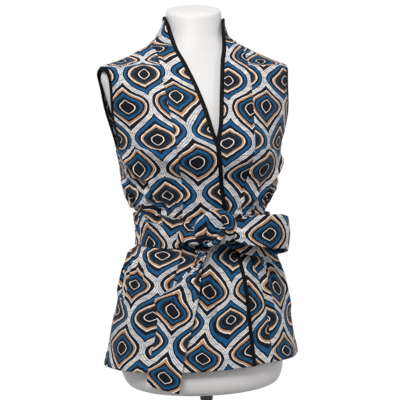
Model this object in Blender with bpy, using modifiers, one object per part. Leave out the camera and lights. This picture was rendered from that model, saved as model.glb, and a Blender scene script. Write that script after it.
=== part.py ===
"""Sleeveless wrap jacket with a tie belt, on a limbless dress form.

Metres, +Z up, the front of the garment faces -Y, the wearer's right is -X.
The origin is the centre of the underside of the stand's base.

The cloth follows one family of level rings. A point of it has an angle, 0 at
the middle of the front and +90 at the wearer's left side, and a height.
"""

import math

import bpy
from mathutils import Vector

# ---------------------------------------------------------------- main sizes
CLOTH_T = 0.0016          # wall of the cloth
BINDING_T = 0.0026        # wall of the folded binding
BINDING_W = 0.0070        # visible width of the binding
BELT_T = 0.0026           # the belt is two layers of cloth
SEAM_GAP = 0.0003         # between two sewn pieces
POINT_ROOM = 0.0014       # room at the point where three seams meet
LAP = 0.0046              # the right front lies this far outside the left one
BELT_CLEAR = 0.0020       # between the belt and the cloth under it

HEM_Z = 0.270
UNDERARM_Z = 0.667
TIP_Z = 0.823             # end of the shoulder
NECK_SEAM_Z = 0.868       # where the collar starts at the back
COLLAR_TOP_Z = 0.9160
BELT_LOW_Z = 0.484
BELT_HIGH_Z = 0.545

BASE_R = 0.150
BASE_H = 0.008
POLE_R = 0.011
SOCKET_R = 0.019
SOCKET_H = 0.022
FORM_BOTTOM_Z = 0.211

# The middle of the rings drifts to the form's right, which leans a little.
LEAN_COLUMNS = ("z", "x")
LEAN = [
    (0.200, -0.0020),
    (0.270, -0.0075),
    (0.400, -0.0085),
    (0.512, -0.0095),
    (0.667, -0.0140),
    (0.825, -0.0195),
    (0.940, -0.0220),
]

# Rings of the garment's inner face: height, half width, depth in front of the
# side line, depth behind it, and how far back the side line lies.
RING_COLUMNS = ("z", "half", "front", "back", "side_y")
GARMENT_RINGS = [
    (0.2300, 0.1960, 0.1310, 0.1310, 0.000),
    (0.2700, 0.1905, 0.1270, 0.1270, 0.000),
    (0.3100, 0.1840, 0.1230, 0.1240, 0.000),
    (0.3500, 0.1760, 0.1180, 0.1200, 0.000),
    (0.3910, 0.1660, 0.1120, 0.1150, 0.000),
    (0.4300, 0.1555, 0.1050, 0.1080, 0.000),
    (0.4600, 0.1460, 0.0980, 0.1010, 0.000),
    (0.4820, 0.1285, 0.0900, 0.0900, 0.000),
    (0.5125, 0.1220, 0.0870, 0.0870, 0.000),
    (0.5460, 0.1245, 0.0890, 0.0880, 0.000),
    (0.5590, 0.1360, 0.0980, 0.0940, 0.000),
    (0.5780, 0.1445, 0.1060, 0.0990, 0.000),
    (0.6000, 0.1485, 0.1100, 0.1010, 0.000),
    (0.6300, 0.1525, 0.1140, 0.1030, 0.000),
    (0.6670, 0.1560, 0.1160, 0.1060, 0.000),
    (0.7000, 0.1630, 0.1140, 0.1080, 0.001),
    (0.7450, 0.1725, 0.1060, 0.1080, 0.003),
    (0.7880, 0.1820, 0.0900, 0.1020, 0.006),
    (0.8100, 0.1850, 0.0800, 0.0950, 0.009),
    (0.8230, 0.1800, 0.0735, 0.0900, 0.010),
    (0.8320, 0.1550, 0.0690, 0.0850, 0.011),
    (0.8430, 0.1265, 0.0640, 0.0790, 0.011),
    (0.8550, 0.1010, 0.0600, 0.0720, 0.012),
    (0.8650, 0.0845, 0.0570, 0.0660, 0.012),
    (0.8760, 0.0720, 0.0550, 0.0620, 0.013),
    (0.8880, 0.0655, 0.0530, 0.0595, 0.013),
    (0.9000, 0.0615, 0.0520, 0.0580, 0.014),
    (0.9300, 0.0560, 0.0500, 0.0560, 0.015),
]

# The dress form, smaller than the garment all round. tilt is the share of the
# neck cap's forward slope that the ring takes.
FORM_COLUMNS = ("z", "half", "front", "back", "side_y", "tilt")
FORM_RINGS = [
    (0.2110, 0.1180, 0.0760, 0.0780, 0.000, 0.0),
    (0.2140, 0.1330, 0.0890, 0.0910, 0.000, 0.0),
    (0.2215, 0.1480, 0.0990, 0.1010, 0.000, 0.0),
    (0.2360, 0.1550, 0.1050, 0.1070, 0.000, 0.0),
    (0.2580, 0.1575, 0.1070, 0.1100, 0.000, 0.0),
    (0.3000, 0.1560, 0.1060, 0.1110, 0.000, 0.0),
    (0.3600, 0.1520, 0.1020, 0.1080, 0.000, 0.0),
    (0.4200, 0.1380, 0.0940, 0.0980, 0.000, 0.0),
    (0.4700, 0.1200, 0.0840, 0.0850, 0.000, 0.0),
    (0.5125, 0.1120, 0.0790, 0.0780, 0.000, 0.0),
    (0.5500, 0.1160, 0.0820, 0.0800, 0.000, 0.0),
    (0.6000, 0.1300, 0.0920, 0.0880, 0.000, 0.0),
    (0.6500, 0.1420, 0.1020, 0.0960, 0.000, 0.0),
    (0.7000, 0.1530, 0.1040, 0.1000, 0.001, 0.0),
    (0.7450, 0.1670, 0.0970, 0.1000, 0.003, 0.0),
    (0.7830, 0.1765, 0.0830, 0.0950, 0.006, 0.0),
    (0.8010, 0.1800, 0.0755, 0.0900, 0.009, 0.0),
    (0.8130, 0.1785, 0.0700, 0.0840, 0.010, 0.0),
    (0.8230, 0.1650, 0.0660, 0.0800, 0.011, 0.0),
    (0.8340, 0.1300, 0.0610, 0.0730, 0.011, 0.0),
    (0.8460, 0.0960, 0.0565, 0.0650, 0.012, 0.0),
    (0.8570, 0.0740, 0.0530, 0.0585, 0.012, 0.0),
    (0.8690, 0.0590, 0.0495, 0.0525, 0.013, 0.1),
    (0.8850, 0.0535, 0.0475, 0.0505, 0.013, 0.3),
    (0.9080, 0.0530, 0.0465, 0.0495, 0.014, 0.8),
    (0.9265, 0.0525, 0.0460, 0.0490, 0.015, 1.0),
    (0.9305, 0.0500, 0.0430, 0.0460, 0.015, 1.0),
    (0.9325, 0.0400, 0.0340, 0.0360, 0.015, 1.0),
]
CAP_SLOPE = math.tan(math.radians(20.0))
CAP_CROWN = 0.0010

# Cups of the fronts and the shoulder blades: sideways place, height, spread
# sideways, spread in height, how far they stand out, and on which side.
SWELL_COLUMNS = ("x", "z", "wide", "high", "out", "face")
SWELLS = [
    (0.078, 0.668, 0.046, 0.052, 0.0120, -1),
    (-0.078, 0.668, 0.046, 0.052, 0.0120, -1),
    (0.075, 0.740, 0.050, 0.060, 0.0050, 1),
    (-0.075, 0.740, 0.050, 0.060, 0.0050, 1),
    (0.060, 0.330, 0.060, 0.070, 0.0060, 1),
    (-0.060, 0.330, 0.060, 0.070, 0.0060, 1),
]

# Soft folds: angle at the middle, the two heights between which it shows, its
# half width in degrees, its height, and how it drifts sideways going up.
FOLD_COLUMNS = ("angle", "low", "high", "spread", "out", "drift")
FOLDS = [
    # the flare below the belt
    (-158, 0.22, 0.470, 13, 0.0060, 0),
    (-124, 0.22, 0.470, 12, 0.0055, 20),
    (-92, 0.22, 0.470, 11, 0.0040, -15),
    (-56, 0.22, 0.468, 12, 0.0040, 20),
    (52, 0.22, 0.468, 12, 0.0045, -20),
    (88, 0.22, 0.470, 11, 0.0045, 15),
    (122, 0.22, 0.470, 12, 0.0055, -10),
    (160, 0.22, 0.470, 13, 0.0060, 10),
    # the cloth that hangs over the belt
    (-165, 0.552, 0.640, 9, 0.0040, 0),
    (-140, 0.552, 0.650, 8, 0.0045, 60),
    (-116, 0.552, 0.660, 8, 0.0050, -60),
    (-92, 0.552, 0.640, 8, 0.0050, 50),
    (-64, 0.552, 0.650, 8, 0.0040, -70),
    (-38, 0.552, 0.630, 7, 0.0030, -60),
    (34, 0.552, 0.630, 7, 0.0030, 60),
    (62, 0.552, 0.650, 8, 0.0040, 70),
    (90, 0.552, 0.640, 8, 0.0050, -40),
    (116, 0.552, 0.660, 8, 0.0050, 50),
    (142, 0.552, 0.640, 8, 0.0045, -60),
    (168, 0.552, 0.650, 9, 0.0040, 0),
]

# The hem isn't quite level: how far it rises at each angle.
HEM_COLUMNS = ("angle", "rise")
HEM_RISE = [
    (-180.0, 0.0020),
    (-90.0, -0.0020),
    (-45.0, 0.0000),
    (0.0, 0.0040),
    (30.0, 0.0075),
    (90.0, 0.0070),
    (180.0, 0.0020),
]

# Where the finished edge of the right front runs: height and distance from the
# middle, positive towards the wearer's left. The left front mirrors it.
EDGE_COLUMNS = ("z", "x")
FRONT_EDGE = [
    (0.220, 0.0735),
    (0.270, 0.0700),
    (0.310, 0.0655),
    (0.390, 0.0545),
    (0.470, 0.0435),
    (0.512, 0.033),
    (0.565, 0.021),
    (0.620, 0.012),
    (0.677, 0.003),
    (0.693, -0.003),
    (0.744, -0.014),
    (0.790, -0.026),
    (0.828, -0.038),
    (0.850, -0.046),
    (0.875, -0.0500),
    (0.892, -0.0520),
    (0.906, -0.0545),
]
# Seam over the bust, distance from the middle on either side.
BUST_SEAM = [
    (0.220, 0.121),
    (0.270, 0.115),
    (0.350, 0.101),
    (0.430, 0.080),
    (0.512, 0.055),
    (0.590, 0.060),
    (0.664, 0.071),
    (0.728, 0.077),
    (0.774, 0.081),
    (0.830, 0.083),
    (0.850, 0.083),
    (0.858, 0.083),
    (0.864, 0.0815),
    (0.868, 0.0800),
]
# Armhole: height and the angles of its front and back edges.
ARMHOLE_COLUMNS = ("z", "front_angle", "back_angle")
ARMHOLE = [
    (0.6670, 90.0, 90.0), (0.6700, 83.0, 99.0), (0.6780, 79.5, 103.5),
    (0.6950, 77.0, 106.5), (0.7200, 74.2, 107.5), (0.7500, 70.8, 107.0),
    (0.7800, 69.0, 105.0), (0.8000, 68.6, 102.5), (0.8130, 70.0, 98.5),
    (0.8190, 73.5, 95.5), (0.8230, 88.5, 91.5),
]

# How many steps each surface takes.
SIDE_COLS = 7
CENTER_COLS = 8
COLLAR_COLS = 8
BACK_COLS = 18
HEM_ROWS = [0.270, 0.300, 0.335, 0.370, 0.405, 0.440, 0.466, 0.484, 0.513, 0.545]
BODY_ROWS = [0.556, 0.571, 0.592, 0.620, 0.645]
ARM_ROWS = [0.667, 0.670, 0.678, 0.695, 0.720, 0.750, 0.780, 0.800, 0.813, 0.819, 0.823]
TOP_ROWS = [0.8265, 0.833, 0.841, 0.850, 0.858, 0.8645]
COLLAR_ROWS = [0.8682, 0.879, 0.890, 0.9020]
COLLAR_CORNER_ANGLE = 72.0

# The hanging tail: height, its two edges from the middle of the stand, and how
# far it stands off the cloth behind it.
TAIL_COLUMNS = ("z", "left", "right", "off")
TAIL = [
    (0.4740, -0.0390, -0.0300, 0.0190),
    (0.4620, -0.0430, -0.0330, 0.0150),
    (0.4400, -0.0680, -0.0385, 0.0110),
    (0.4130, -0.0985, -0.0440, 0.0085),
    (0.3980, -0.1160, -0.0470, 0.0075),
    (0.3680, -0.1140, -0.0540, 0.0070),
    (0.3400, -0.1180, -0.0610, 0.0070),
    (0.3160, -0.1240, -0.0680, 0.0070),
    (0.2780, -0.1320, -0.0770, 0.0070),
    (0.2480, -0.1360, -0.0820, 0.0070),
]
TAIL_COLS = 5

# The loop, seen from above: the path of its ribbon, and its two edges.
LOOP_COLUMNS = ("x", "y", "low", "high")
LOOP = [
    (0.0010, -0.1275, 0.5060, 0.5330),
    (0.0130, -0.1340, 0.5020, 0.5400),
    (0.0350, -0.1400, 0.4960, 0.5450),
    (0.0650, -0.1390, 0.4910, 0.5470),
    (0.0950, -0.1290, 0.4875, 0.5470),
    (0.1170, -0.1140, 0.4850, 0.5460),
    (0.1265, -0.1015, 0.4840, 0.5450),
    (0.1275, -0.0940, 0.4820, 0.5440),
    (0.1220, -0.0895, 0.4800, 0.5430),
    (0.1080, -0.0920, 0.4770, 0.5430),
    (0.0850, -0.1035, 0.4740, 0.5420),
    (0.0600, -0.1110, 0.4760, 0.5400),
    (0.0350, -0.1140, 0.4830, 0.5360),
    (0.0150, -0.1160, 0.4930, 0.5300),
]

KNOT_AT = (-0.0265, -0.1235, 0.5165)
KNOT_HALF = (0.0235, 0.0155, 0.0350)


# ------------------------------------------------------------------- numbers
def slopes(xs, ys):
    """Slopes of a smooth curve through the points that never overshoots."""
    n = len(xs)
    step = [(ys[i + 1] - ys[i]) / (xs[i + 1] - xs[i]) for i in range(n - 1)]
    out = [step[0]]
    for i in range(1, n - 1):
        a, b = step[i - 1], step[i]
        if a * b <= 0:
            out.append(0.0)
        else:
            ha, hb = xs[i] - xs[i - 1], xs[i + 1] - xs[i]
            wa, wb = 2 * hb + ha, hb + 2 * ha
            out.append((wa + wb) / (wa / a + wb / b))
    return out + [step[-1]]


class Curve:
    """A smooth value over a rising number."""

    def __init__(self, xs, ys):
        self.xs, self.ys, self.ms = list(xs), list(ys), slopes(xs, ys)

    def at(self, x):
        xs = self.xs
        x = min(max(x, xs[0]), xs[-1])
        k = 0
        while k < len(xs) - 2 and x > xs[k + 1]:
            k += 1
        h = xs[k + 1] - xs[k]
        t = (x - xs[k]) / h
        a, b = self.ys[k], self.ys[k + 1]
        return (
            (2 * t**3 - 3 * t**2 + 1) * a
            + (t**3 - 2 * t**2 + t) * h * self.ms[k]
            + (3 * t**2 - 2 * t**3) * b
            + (t**3 - t**2) * h * self.ms[k + 1]
        )


def curves(rows, columns):
    xs = [r[0] for r in rows]
    return {
        name: Curve(xs, [r[i] for r in rows])
        for i, name in enumerate(columns)
        if i > 0
    }


def soft_step(t):
    t = min(max(t, 0.0), 1.0)
    return t * t * (3 - 2 * t)


RING = curves(GARMENT_RINGS, RING_COLUMNS)
MIDDLE = Curve([r[0] for r in LEAN], [r[1] for r in LEAN])
HEM = Curve([r[0] for r in HEM_RISE], [r[1] for r in HEM_RISE])
EDGE = Curve([r[0] for r in FRONT_EDGE], [r[1] for r in FRONT_EDGE])
SEAM = Curve([r[0] for r in BUST_SEAM], [r[1] for r in BUST_SEAM])
ARM = curves(ARMHOLE, ARMHOLE_COLUMNS)


# --------------------------------------------------------- the cloth's family
def lean(z):
    return MIDDLE.at(z)


def swell(x, z, front):
    out = 0.0
    for sx, sz, wide, high, size, face in SWELLS:
        if (face < 0) == front:
            out += size * math.exp(-(((x - sx) / wide) ** 2) - ((z - sz) / high) ** 2)
    return out


def base(angle, z):
    """The bare ring surface."""
    t = math.radians(angle)
    s, c = math.sin(t), math.cos(t)
    half = RING["half"].at(z)
    front = c >= 0
    depth = RING["front"].at(z) if front else RING["back"].at(z)
    x = half * s
    y = -depth * c
    push = swell(x, z, front) * min(1.0, abs(c) * 1.6)
    y += -push if front else push
    turned = (angle + 180.0) % 360.0 - 180.0
    rise = HEM.at(turned) * soft_step((0.380 - z) / 0.100)
    return Vector((lean(z) + x, RING["side_y"].at(z) + y, z + rise))


def normal(angle, z):
    da, dz = 0.8, 0.0015
    along = base(angle + da, z) - base(angle - da, z)
    up = base(angle, z + dz) - base(angle, z - dz)
    return along.cross(up).normalized()


def fold(angle, z):
    out = 0.0
    for mid, low, high, spread, size, drift in FOLDS:
        if low < z < high:
            centre = mid + drift * (z - (low + high) / 2)
            away = (angle - centre + 180) % 360 - 180
            share = (z - low) / (high - low)
            if high < 0.5:
                grow = soft_step(1.15 * (1 - share))
            else:
                grow = math.sin(math.pi * min(1.0, share * 0.9 + 0.10)) ** 0.8
            out += size * grow * (math.exp(-((away / spread) ** 2)) - 0.25)
    return out


def angle_of(x, z):
    """The angle on the front at a distance from the middle."""
    half = RING["half"].at(z)
    return math.degrees(math.asin(min(max(x / half, -1.0), 1.0)))


def lap(angle, z):
    """How far the right front is lifted to pass over the left one."""
    if abs(angle) > 90:
        return 0.0
    x = RING["half"].at(z) * math.sin(math.radians(angle))
    hidden = -EDGE.at(z)
    across = soft_step((x - (hidden - 0.046)) / 0.030)
    return LAP * across * soft_step((0.800 - z) / 0.085)


def cloth(angle, z, out=0.0, over=False):
    """A point out metres outside the cloth's inner face."""
    lift = lap(angle, z) if over else 0.0
    return base(angle, z) + normal(angle, z) * (fold(angle, z) + lift + out)


# ------------------------------------------------------------------ builders
def clear_scene():
    for ob in list(bpy.data.objects):
        bpy.data.objects.remove(ob, do_unlink=True)


def material(name, colour, rough, metal=0.0):
    found = bpy.data.materials.get(name)
    if found:
        return found
    m = bpy.data.materials.new(name)
    m.use_nodes = True
    p = m.node_tree.nodes["Principled BSDF"]
    p.inputs["Base Color"].default_value = (*colour, 1)
    p.inputs["Roughness"].default_value = rough
    p.inputs["Metallic"].default_value = metal
    return m


HOME = bpy.data.collections.new("wrap_jacket_on_dress_form")
bpy.context.scene.collection.children.link(HOME)


def add_mesh(name, points, faces, mat):
    me = bpy.data.meshes.new(name)
    me.from_pydata([tuple(p) for p in points], [], faces)
    me.update()
    ob = bpy.data.objects.new(name, me)
    HOME.objects.link(ob)
    me.materials.append(mat)
    return ob


def thicken(ob, thickness, side):
    """Gives a surface its wall: side 1 is outside it, 0 is on both sides."""
    m = ob.modifiers.new("wall", "SOLIDIFY")
    m.thickness = thickness
    m.offset = side
    m.use_even_offset = True
    m.use_quality_normals = True
    return ob


class Surface:
    """Points shared by key, and four-sided faces between them."""

    def __init__(self):
        self.points, self.index, self.faces = [], {}, []

    def put(self, key, point):
        if key not in self.index:
            self.index[key] = len(self.points)
            self.points.append(point)
        return self.index[key]

    def weave(self, keys):
        """keys is a list of rows of keys, going up, each from -angle to +angle."""
        for low, high in zip(keys, keys[1:]):
            for i in range(len(low) - 1):
                self.faces.append(
                    (
                        self.index[low[i]],
                        self.index[low[i + 1]],
                        self.index[high[i + 1]],
                        self.index[high[i]],
                    )
                )


def per_metre(angle, z):
    """Degrees of angle for a metre along the ring here."""
    return 2.0 / (base(angle + 1, z) - base(angle - 1, z)).length


def inset(angle, z, metres):
    """The angle moved towards the wearer's left by a distance along the cloth."""
    return angle + metres * per_metre(angle, z)


def even(a, b, n):
    return [a + (b - a) * i / n for i in range(n + 1)]


HALF_GAP = SEAM_GAP / 2
EDGE_ROOM = BINDING_W + SEAM_GAP


def front_edge_angle(z, side):
    """The finished front edge, for side -1 the right front and +1 the left."""
    return -side * angle_of(EDGE.at(z), z)


def side_panel(name, side, mat):
    """From the side seam to the seam over the bust."""
    s = Surface()
    rows = []
    heights = HEM_ROWS + BODY_ROWS + ARM_ROWS + TOP_ROWS
    for k, z in enumerate(heights):
        inner = angle_of(SEAM.at(z), z)
        if z < UNDERARM_Z - 1e-6:
            outer = 90.0 - HALF_GAP * per_metre(90, z)
        elif z <= TIP_Z + 1e-6:
            outer = ARM["front_angle"].at(z)
            outer -= HALF_GAP * per_metre(outer, z)
        else:
            outer = 90.0 - HALF_GAP * per_metre(90, z)
        inner = inner + HALF_GAP * per_metre(inner, z)
        if k == len(heights) - 1:
            inner += POINT_ROOM * per_metre(inner, z)
        row = []
        for i, a in enumerate(even(inner, outer, SIDE_COLS)):
            angle = side * a
            over = side < 0
            row.append((k, i))
            s.put((k, i), cloth(angle, z, 0.0, over))
        rows.append(row if side > 0 else row[::-1])
    s.weave(rows)
    return thicken(add_mesh(name, s.points, s.faces, mat), CLOTH_T, 1)


def center_panel(name, side, mat):
    """From the front edge to the seam over the bust, with half the collar."""
    s = Surface()
    over = side < 0
    rows = []
    heights = HEM_ROWS + BODY_ROWS + ARM_ROWS + TOP_ROWS + COLLAR_ROWS
    k = 0
    collar_from = None
    for k, z in enumerate(heights):
        edge = -angle_of(EDGE.at(z), z)
        # measured on the panel's own side, outwards from the middle
        edge += EDGE_ROOM * per_metre(edge, z)
        if z <= TOP_ROWS[-1] + 1e-6:
            outer = angle_of(SEAM.at(z), z)
            outer -= HALF_GAP * per_metre(outer, z)
        else:
            outer = 90.0
            if collar_from is None:
                collar_from = k
        row = []
        for i, a in enumerate(even(edge, outer, CENTER_COLS)):
            row.append((k, i))
            s.put((k, i), cloth(side * a, z, 0.0, over))
        rows.append(row)
    # the top row of the collar starts further round
    k += 1
    row = []
    for i, a in enumerate(even(COLLAR_CORNER_ANGLE, 90.0, CENTER_COLS)):
        row.append((k, i))
        s.put((k, i), cloth(side * a, COLLAR_TOP_Z - EDGE_ROOM * 0.95, 0.0, over))
    rows.append(row)
    s.weave(rows if side > 0 else [r[::-1] for r in rows])
    # the back half of the collar
    back = []
    for kk in range(collar_from, k + 1):
        z = heights[kk] if kk < len(heights) else COLLAR_TOP_Z - EDGE_ROOM * 0.95
        row = [(kk, CENTER_COLS)]
        stop = 180.0 - HALF_GAP * per_metre(180, z)
        for j, a in enumerate(even(90.0, stop, COLLAR_COLS)[1:], 1):
            key = (kk, CENTER_COLS + j)
            s.put(key, cloth(side * a, z, 0.0, over))
            row.append(key)
        back.append(row)
    s.weave(back if side > 0 else [r[::-1] for r in back])
    return thicken(add_mesh(name, s.points, s.faces, mat), CLOTH_T, 1)


def back_panel(name, mat):
    s = Surface()
    rows = []
    heights = HEM_ROWS + BODY_ROWS + ARM_ROWS + TOP_ROWS[:-1]
    heights = heights + [NECK_SEAM_Z - SEAM_GAP * 2]
    for k, z in enumerate(heights):
        if UNDERARM_Z - 1e-6 <= z <= TIP_Z + 1e-6:
            start = ARM["back_angle"].at(z)
        else:
            start = 90.0
        start += HALF_GAP * per_metre(start, z)
        row = []
        for i, a in enumerate(even(start, 360.0 - start, BACK_COLS)):
            s.put((k, i), cloth(a, z))
            row.append((k, i))
        rows.append(row)
    s.weave(rows)
    return thicken(add_mesh(name, s.points, s.faces, mat), CLOTH_T, 1)


def strip(name, path, closed, width, away, mat, thickness):
    """A flat binding along a path of (point, normal), on the side that away names."""
    pts = [p for p, n in path]
    n = len(pts)
    s = Surface()
    rows = []
    for i in range(n):
        ahead = pts[(i + 1) % n] if closed or i < n - 1 else pts[i]
        behind = pts[(i - 1) % n] if closed or i > 0 else pts[i]
        along = (ahead - behind).normalized()
        up = path[i][1]
        sideways = along.cross(up).normalized() * away
        middle = pts[i] + up * (CLOTH_T / 2)
        row = []
        for j, f in enumerate((0.0, 0.5, 1.0)):
            row.append((i, j))
            s.put((i, j), middle + sideways * (SEAM_GAP + width * f))
        rows.append(row if away > 0 else row[::-1])
    if closed:
        rows.append(rows[0])
    s.weave(rows)
    return thicken(add_mesh(name, s.points, s.faces, mat), thickness, 0)


def front_binding(name, side, mat):
    over = side < 0
    spots = []
    for z in HEM_ROWS + BODY_ROWS + ARM_ROWS + TOP_ROWS + COLLAR_ROWS:
        a = -angle_of(EDGE.at(z), z)
        spots.append((a + BINDING_W * per_metre(a, z), z))
    top = COLLAR_TOP_Z - EDGE_ROOM * 0.95 + SEAM_GAP
    spots.append((COLLAR_CORNER_ANGLE - 1.0, top))
    for a in even(COLLAR_CORNER_ANGLE + 7.0, 180.0 - 0.12, 12):
        spots.append((a, top + SEAM_GAP))
    path = [
        (cloth(side * a, z, 0.0, over), normal(side * a, z)) for a, z in spots
    ]
    return strip(name, path, False, BINDING_W, -side, mat, BINDING_T)


def armhole_binding(name, side, mat):
    spots = []
    for z, f, b in ARMHOLE:
        spots.append((f, z))
    for z, f, b in ARMHOLE[::-1][:-1]:
        spots.append((b, z))
    path = [
        (cloth(side * a, z, 0.0, side < 0), normal(side * a, z)) for a, z in spots
    ]
    return strip(name, path, True, BINDING_W * 0.8, side, mat, BINDING_T)


def belt_band(name, mat):
    """The belt round the waist, outside both fronts, drawn together at the knot."""
    s = Surface()
    rows = []
    cols = 48
    knot_angle = angle_of(KNOT_AT[0] - lean(KNOT_AT[2]), KNOT_AT[2])
    lift = CLOTH_T + BELT_CLEAR
    for k, share in enumerate((0.0, 0.33, 0.67, 1.0)):
        row = []
        for i in range(cols):
            a = 360.0 * i / cols
            away = (a - knot_angle + 180) % 360 - 180
            pinch = 0.24 * math.exp(-((away / 15.0) ** 2))
            z = BELT_LOW_Z + (BELT_HIGH_Z - BELT_LOW_Z) * (
                share * (1 - 2 * pinch) + pinch
            )
            signed = a if a <= 180 else a - 360
            s.put((k, i), cloth(signed, z, lift, True))
            row.append((k, i))
        rows.append(row + [row[0]])
    s.weave(rows)
    return thicken(add_mesh(name, s.points, s.faces, mat), BELT_T, 1)


def belt_tail(name, mat):
    s = Surface()
    rows = []
    table = curves(TAIL[::-1], TAIL_COLUMNS)
    heights = [r[0] for r in TAIL[::-1]]
    for k, z in enumerate(heights):
        left, right, off = (table[c].at(z) for c in ("left", "right", "off"))
        row = []
        hang = max(z, HEM_Z + 0.004)
        for i, x in enumerate(even(left, right, TAIL_COLS)):
            a = angle_of(x - lean(z), hang)
            p = cloth(a, hang, off, True)
            p.z = z - 0.012 * i / TAIL_COLS * soft_step((0.30 - z) / 0.06)
            s.put((k, i), p)
            row.append((k, i))
        rows.append(row)
    s.weave(rows)
    return thicken(add_mesh(name, s.points, s.faces, mat), BELT_T, 1)


def belt_loop(name, mat):
    s = Surface()
    rows = [[], [], [], []]
    for i, (x, y, low, high) in enumerate(LOOP):
        for k, z in enumerate(even(low, high, 3)):
            bow = 0.0015 * math.sin(math.pi * k / 3)
            s.put((k, i), Vector((x, y - bow, z)))
            rows[k].append((k, i))
    s.weave(rows)
    return thicken(add_mesh(name, s.points, s.faces, mat), BELT_T, 0)


def belt_knot(name, mat):
    """A wrapped lump: a rounded body with one broad diagonal turn over it."""
    points, faces = [], []
    around, levels = 20, 11
    cx, cy, cz = KNOT_AT
    hx, hy, hz = KNOT_HALF
    for k in range(1, levels):
        t = math.pi * k / levels
        for i in range(around):
            a = 2 * math.pi * i / around
            x, y, z = math.sin(t) * math.cos(a), math.sin(t) * math.sin(a), math.cos(t)
            turn = x * 0.75 + z * 0.65
            ridge = 1 + 0.10 * math.exp(-((turn / 0.35) ** 2)) - 0.05
            wide = 1.0 + 0.10 * z
            points.append(
                (
                    cx + hx * x * ridge * wide,
                    cy + hy * y * ridge,
                    cz + hz * math.copysign(abs(z) ** 0.85, z),
                )
            )
    for k in range(levels - 2):
        for i in range(around):
            j = (i + 1) % around
            a, b = k * around, (k + 1) * around
            faces.append((a + i, b + i, b + j, a + j))
    points.append((cx, cy, cz + hz))
    points.append((cx, cy, cz - hz))
    top, bottom = len(points) - 2, len(points) - 1
    for i in range(around):
        j = (i + 1) % around
        faces.append((top, i, j))
        last = (levels - 2) * around
        faces.append((bottom, last + j, last + i))
    return add_mesh(name, points, faces, mat)


def dress_form(name, mat):
    """Torso with a neck block, closed at both ends."""
    cols = 40
    points, faces = [], []
    for z, half, front, back, side_y, tilt in FORM_RINGS:
        for i in range(cols):
            t = 2 * math.pi * i / cols
            s, c = math.sin(t), math.cos(t)
            depth = front if c >= 0 else back
            y = -depth * c
            x = half * s
            push = 0.0
            for sx, sz, wide, high, size, face in SWELLS:
                if (face < 0) == (c >= 0):
                    push += size * math.exp(
                        -(((x - sx) / wide) ** 2) - ((z - sz) / high) ** 2
                    )
            push *= min(1.0, abs(c) * 1.6)
            y += -push if c >= 0 else push
            points.append(
                (lean(z) + x, side_y + y, z + tilt * CAP_SLOPE * y)
            )
    rings = len(FORM_RINGS)
    for k in range(rings - 1):
        for i in range(cols):
            j = (i + 1) % cols
            faces.append((k * cols + i, k * cols + j, (k + 1) * cols + j, (k + 1) * cols + i))
    low = len(points)
    points.append((lean(FORM_RINGS[0][0]), 0, FORM_BOTTOM_Z))
    last = FORM_RINGS[-1]
    points.append((lean(last[0]), last[4], last[0] + CAP_CROWN))
    for i in range(cols):
        j = (i + 1) % cols
        faces.append((low, j, i))
        faces.append((low + 1, (rings - 1) * cols + i, (rings - 1) * cols + j))
    return add_mesh(name, points, faces, mat)


def cylinder(name, radius, low, high, mat, bevel=0.0, vertices=64):
    bpy.ops.mesh.primitive_cylinder_add(
        vertices=vertices, radius=radius, depth=high - low, location=(0, 0, (low + high) / 2)
    )
    ob = bpy.context.object
    ob.name = ob.data.name = name
    for c in list(ob.users_collection):
        c.objects.unlink(ob)
    HOME.objects.link(ob)
    ob.data.materials.append(mat)
    if bevel:
        m = ob.modifiers.new("rim", "BEVEL")
        m.width = bevel
        m.segments = 2
        m.limit_method = "ANGLE"
    return ob


def build():
    clear_scene()
    print_cloth = material("printed_cloth", (0.030, 0.055, 0.110), 0.75)
    black_cloth = material("black_binding", (0.008, 0.008, 0.009), 0.55)
    white = material("form_white", (0.86, 0.86, 0.85), 0.25)
    black_metal = material("stand_black", (0.010, 0.010, 0.011), 0.25, 0.6)

    back_panel("back_panel", print_cloth)
    side_panel("front_right_side", -1, print_cloth)
    side_panel("front_left_side", 1, print_cloth)
    center_panel("front_right_center", -1, print_cloth)
    center_panel("front_left_center", 1, print_cloth)
    front_binding("binding_front_right", -1, black_cloth)
    front_binding("binding_front_left", 1, black_cloth)
    armhole_binding("binding_armhole_right", -1, black_cloth)
    armhole_binding("binding_armhole_left", 1, black_cloth)
    belt_band("belt_band", print_cloth)
    belt_knot("belt_knot", print_cloth)
    belt_loop("belt_loop", print_cloth)
    belt_tail("belt_tail", print_cloth)

    dress_form("form_torso", white)
    gap = 0.0003
    socket_low = FORM_BOTTOM_Z - gap - SOCKET_H
    cylinder("stand_socket", SOCKET_R, socket_low, FORM_BOTTOM_Z - gap, black_metal, 0.0015, 48)
    cylinder("stand_pole", POLE_R, BASE_H + gap, socket_low - gap, black_metal, 0.0, 48)
    cylinder("stand_base", BASE_R, 0.0, BASE_H, black_metal, 0.002, 80)


build()
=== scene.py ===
"""Looks of the sleeveless wrap jacket on its dress form: cloth shells, creases,
printed weave, bindings, tied belt, glossy form and stand, light and camera."""

import math

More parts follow.
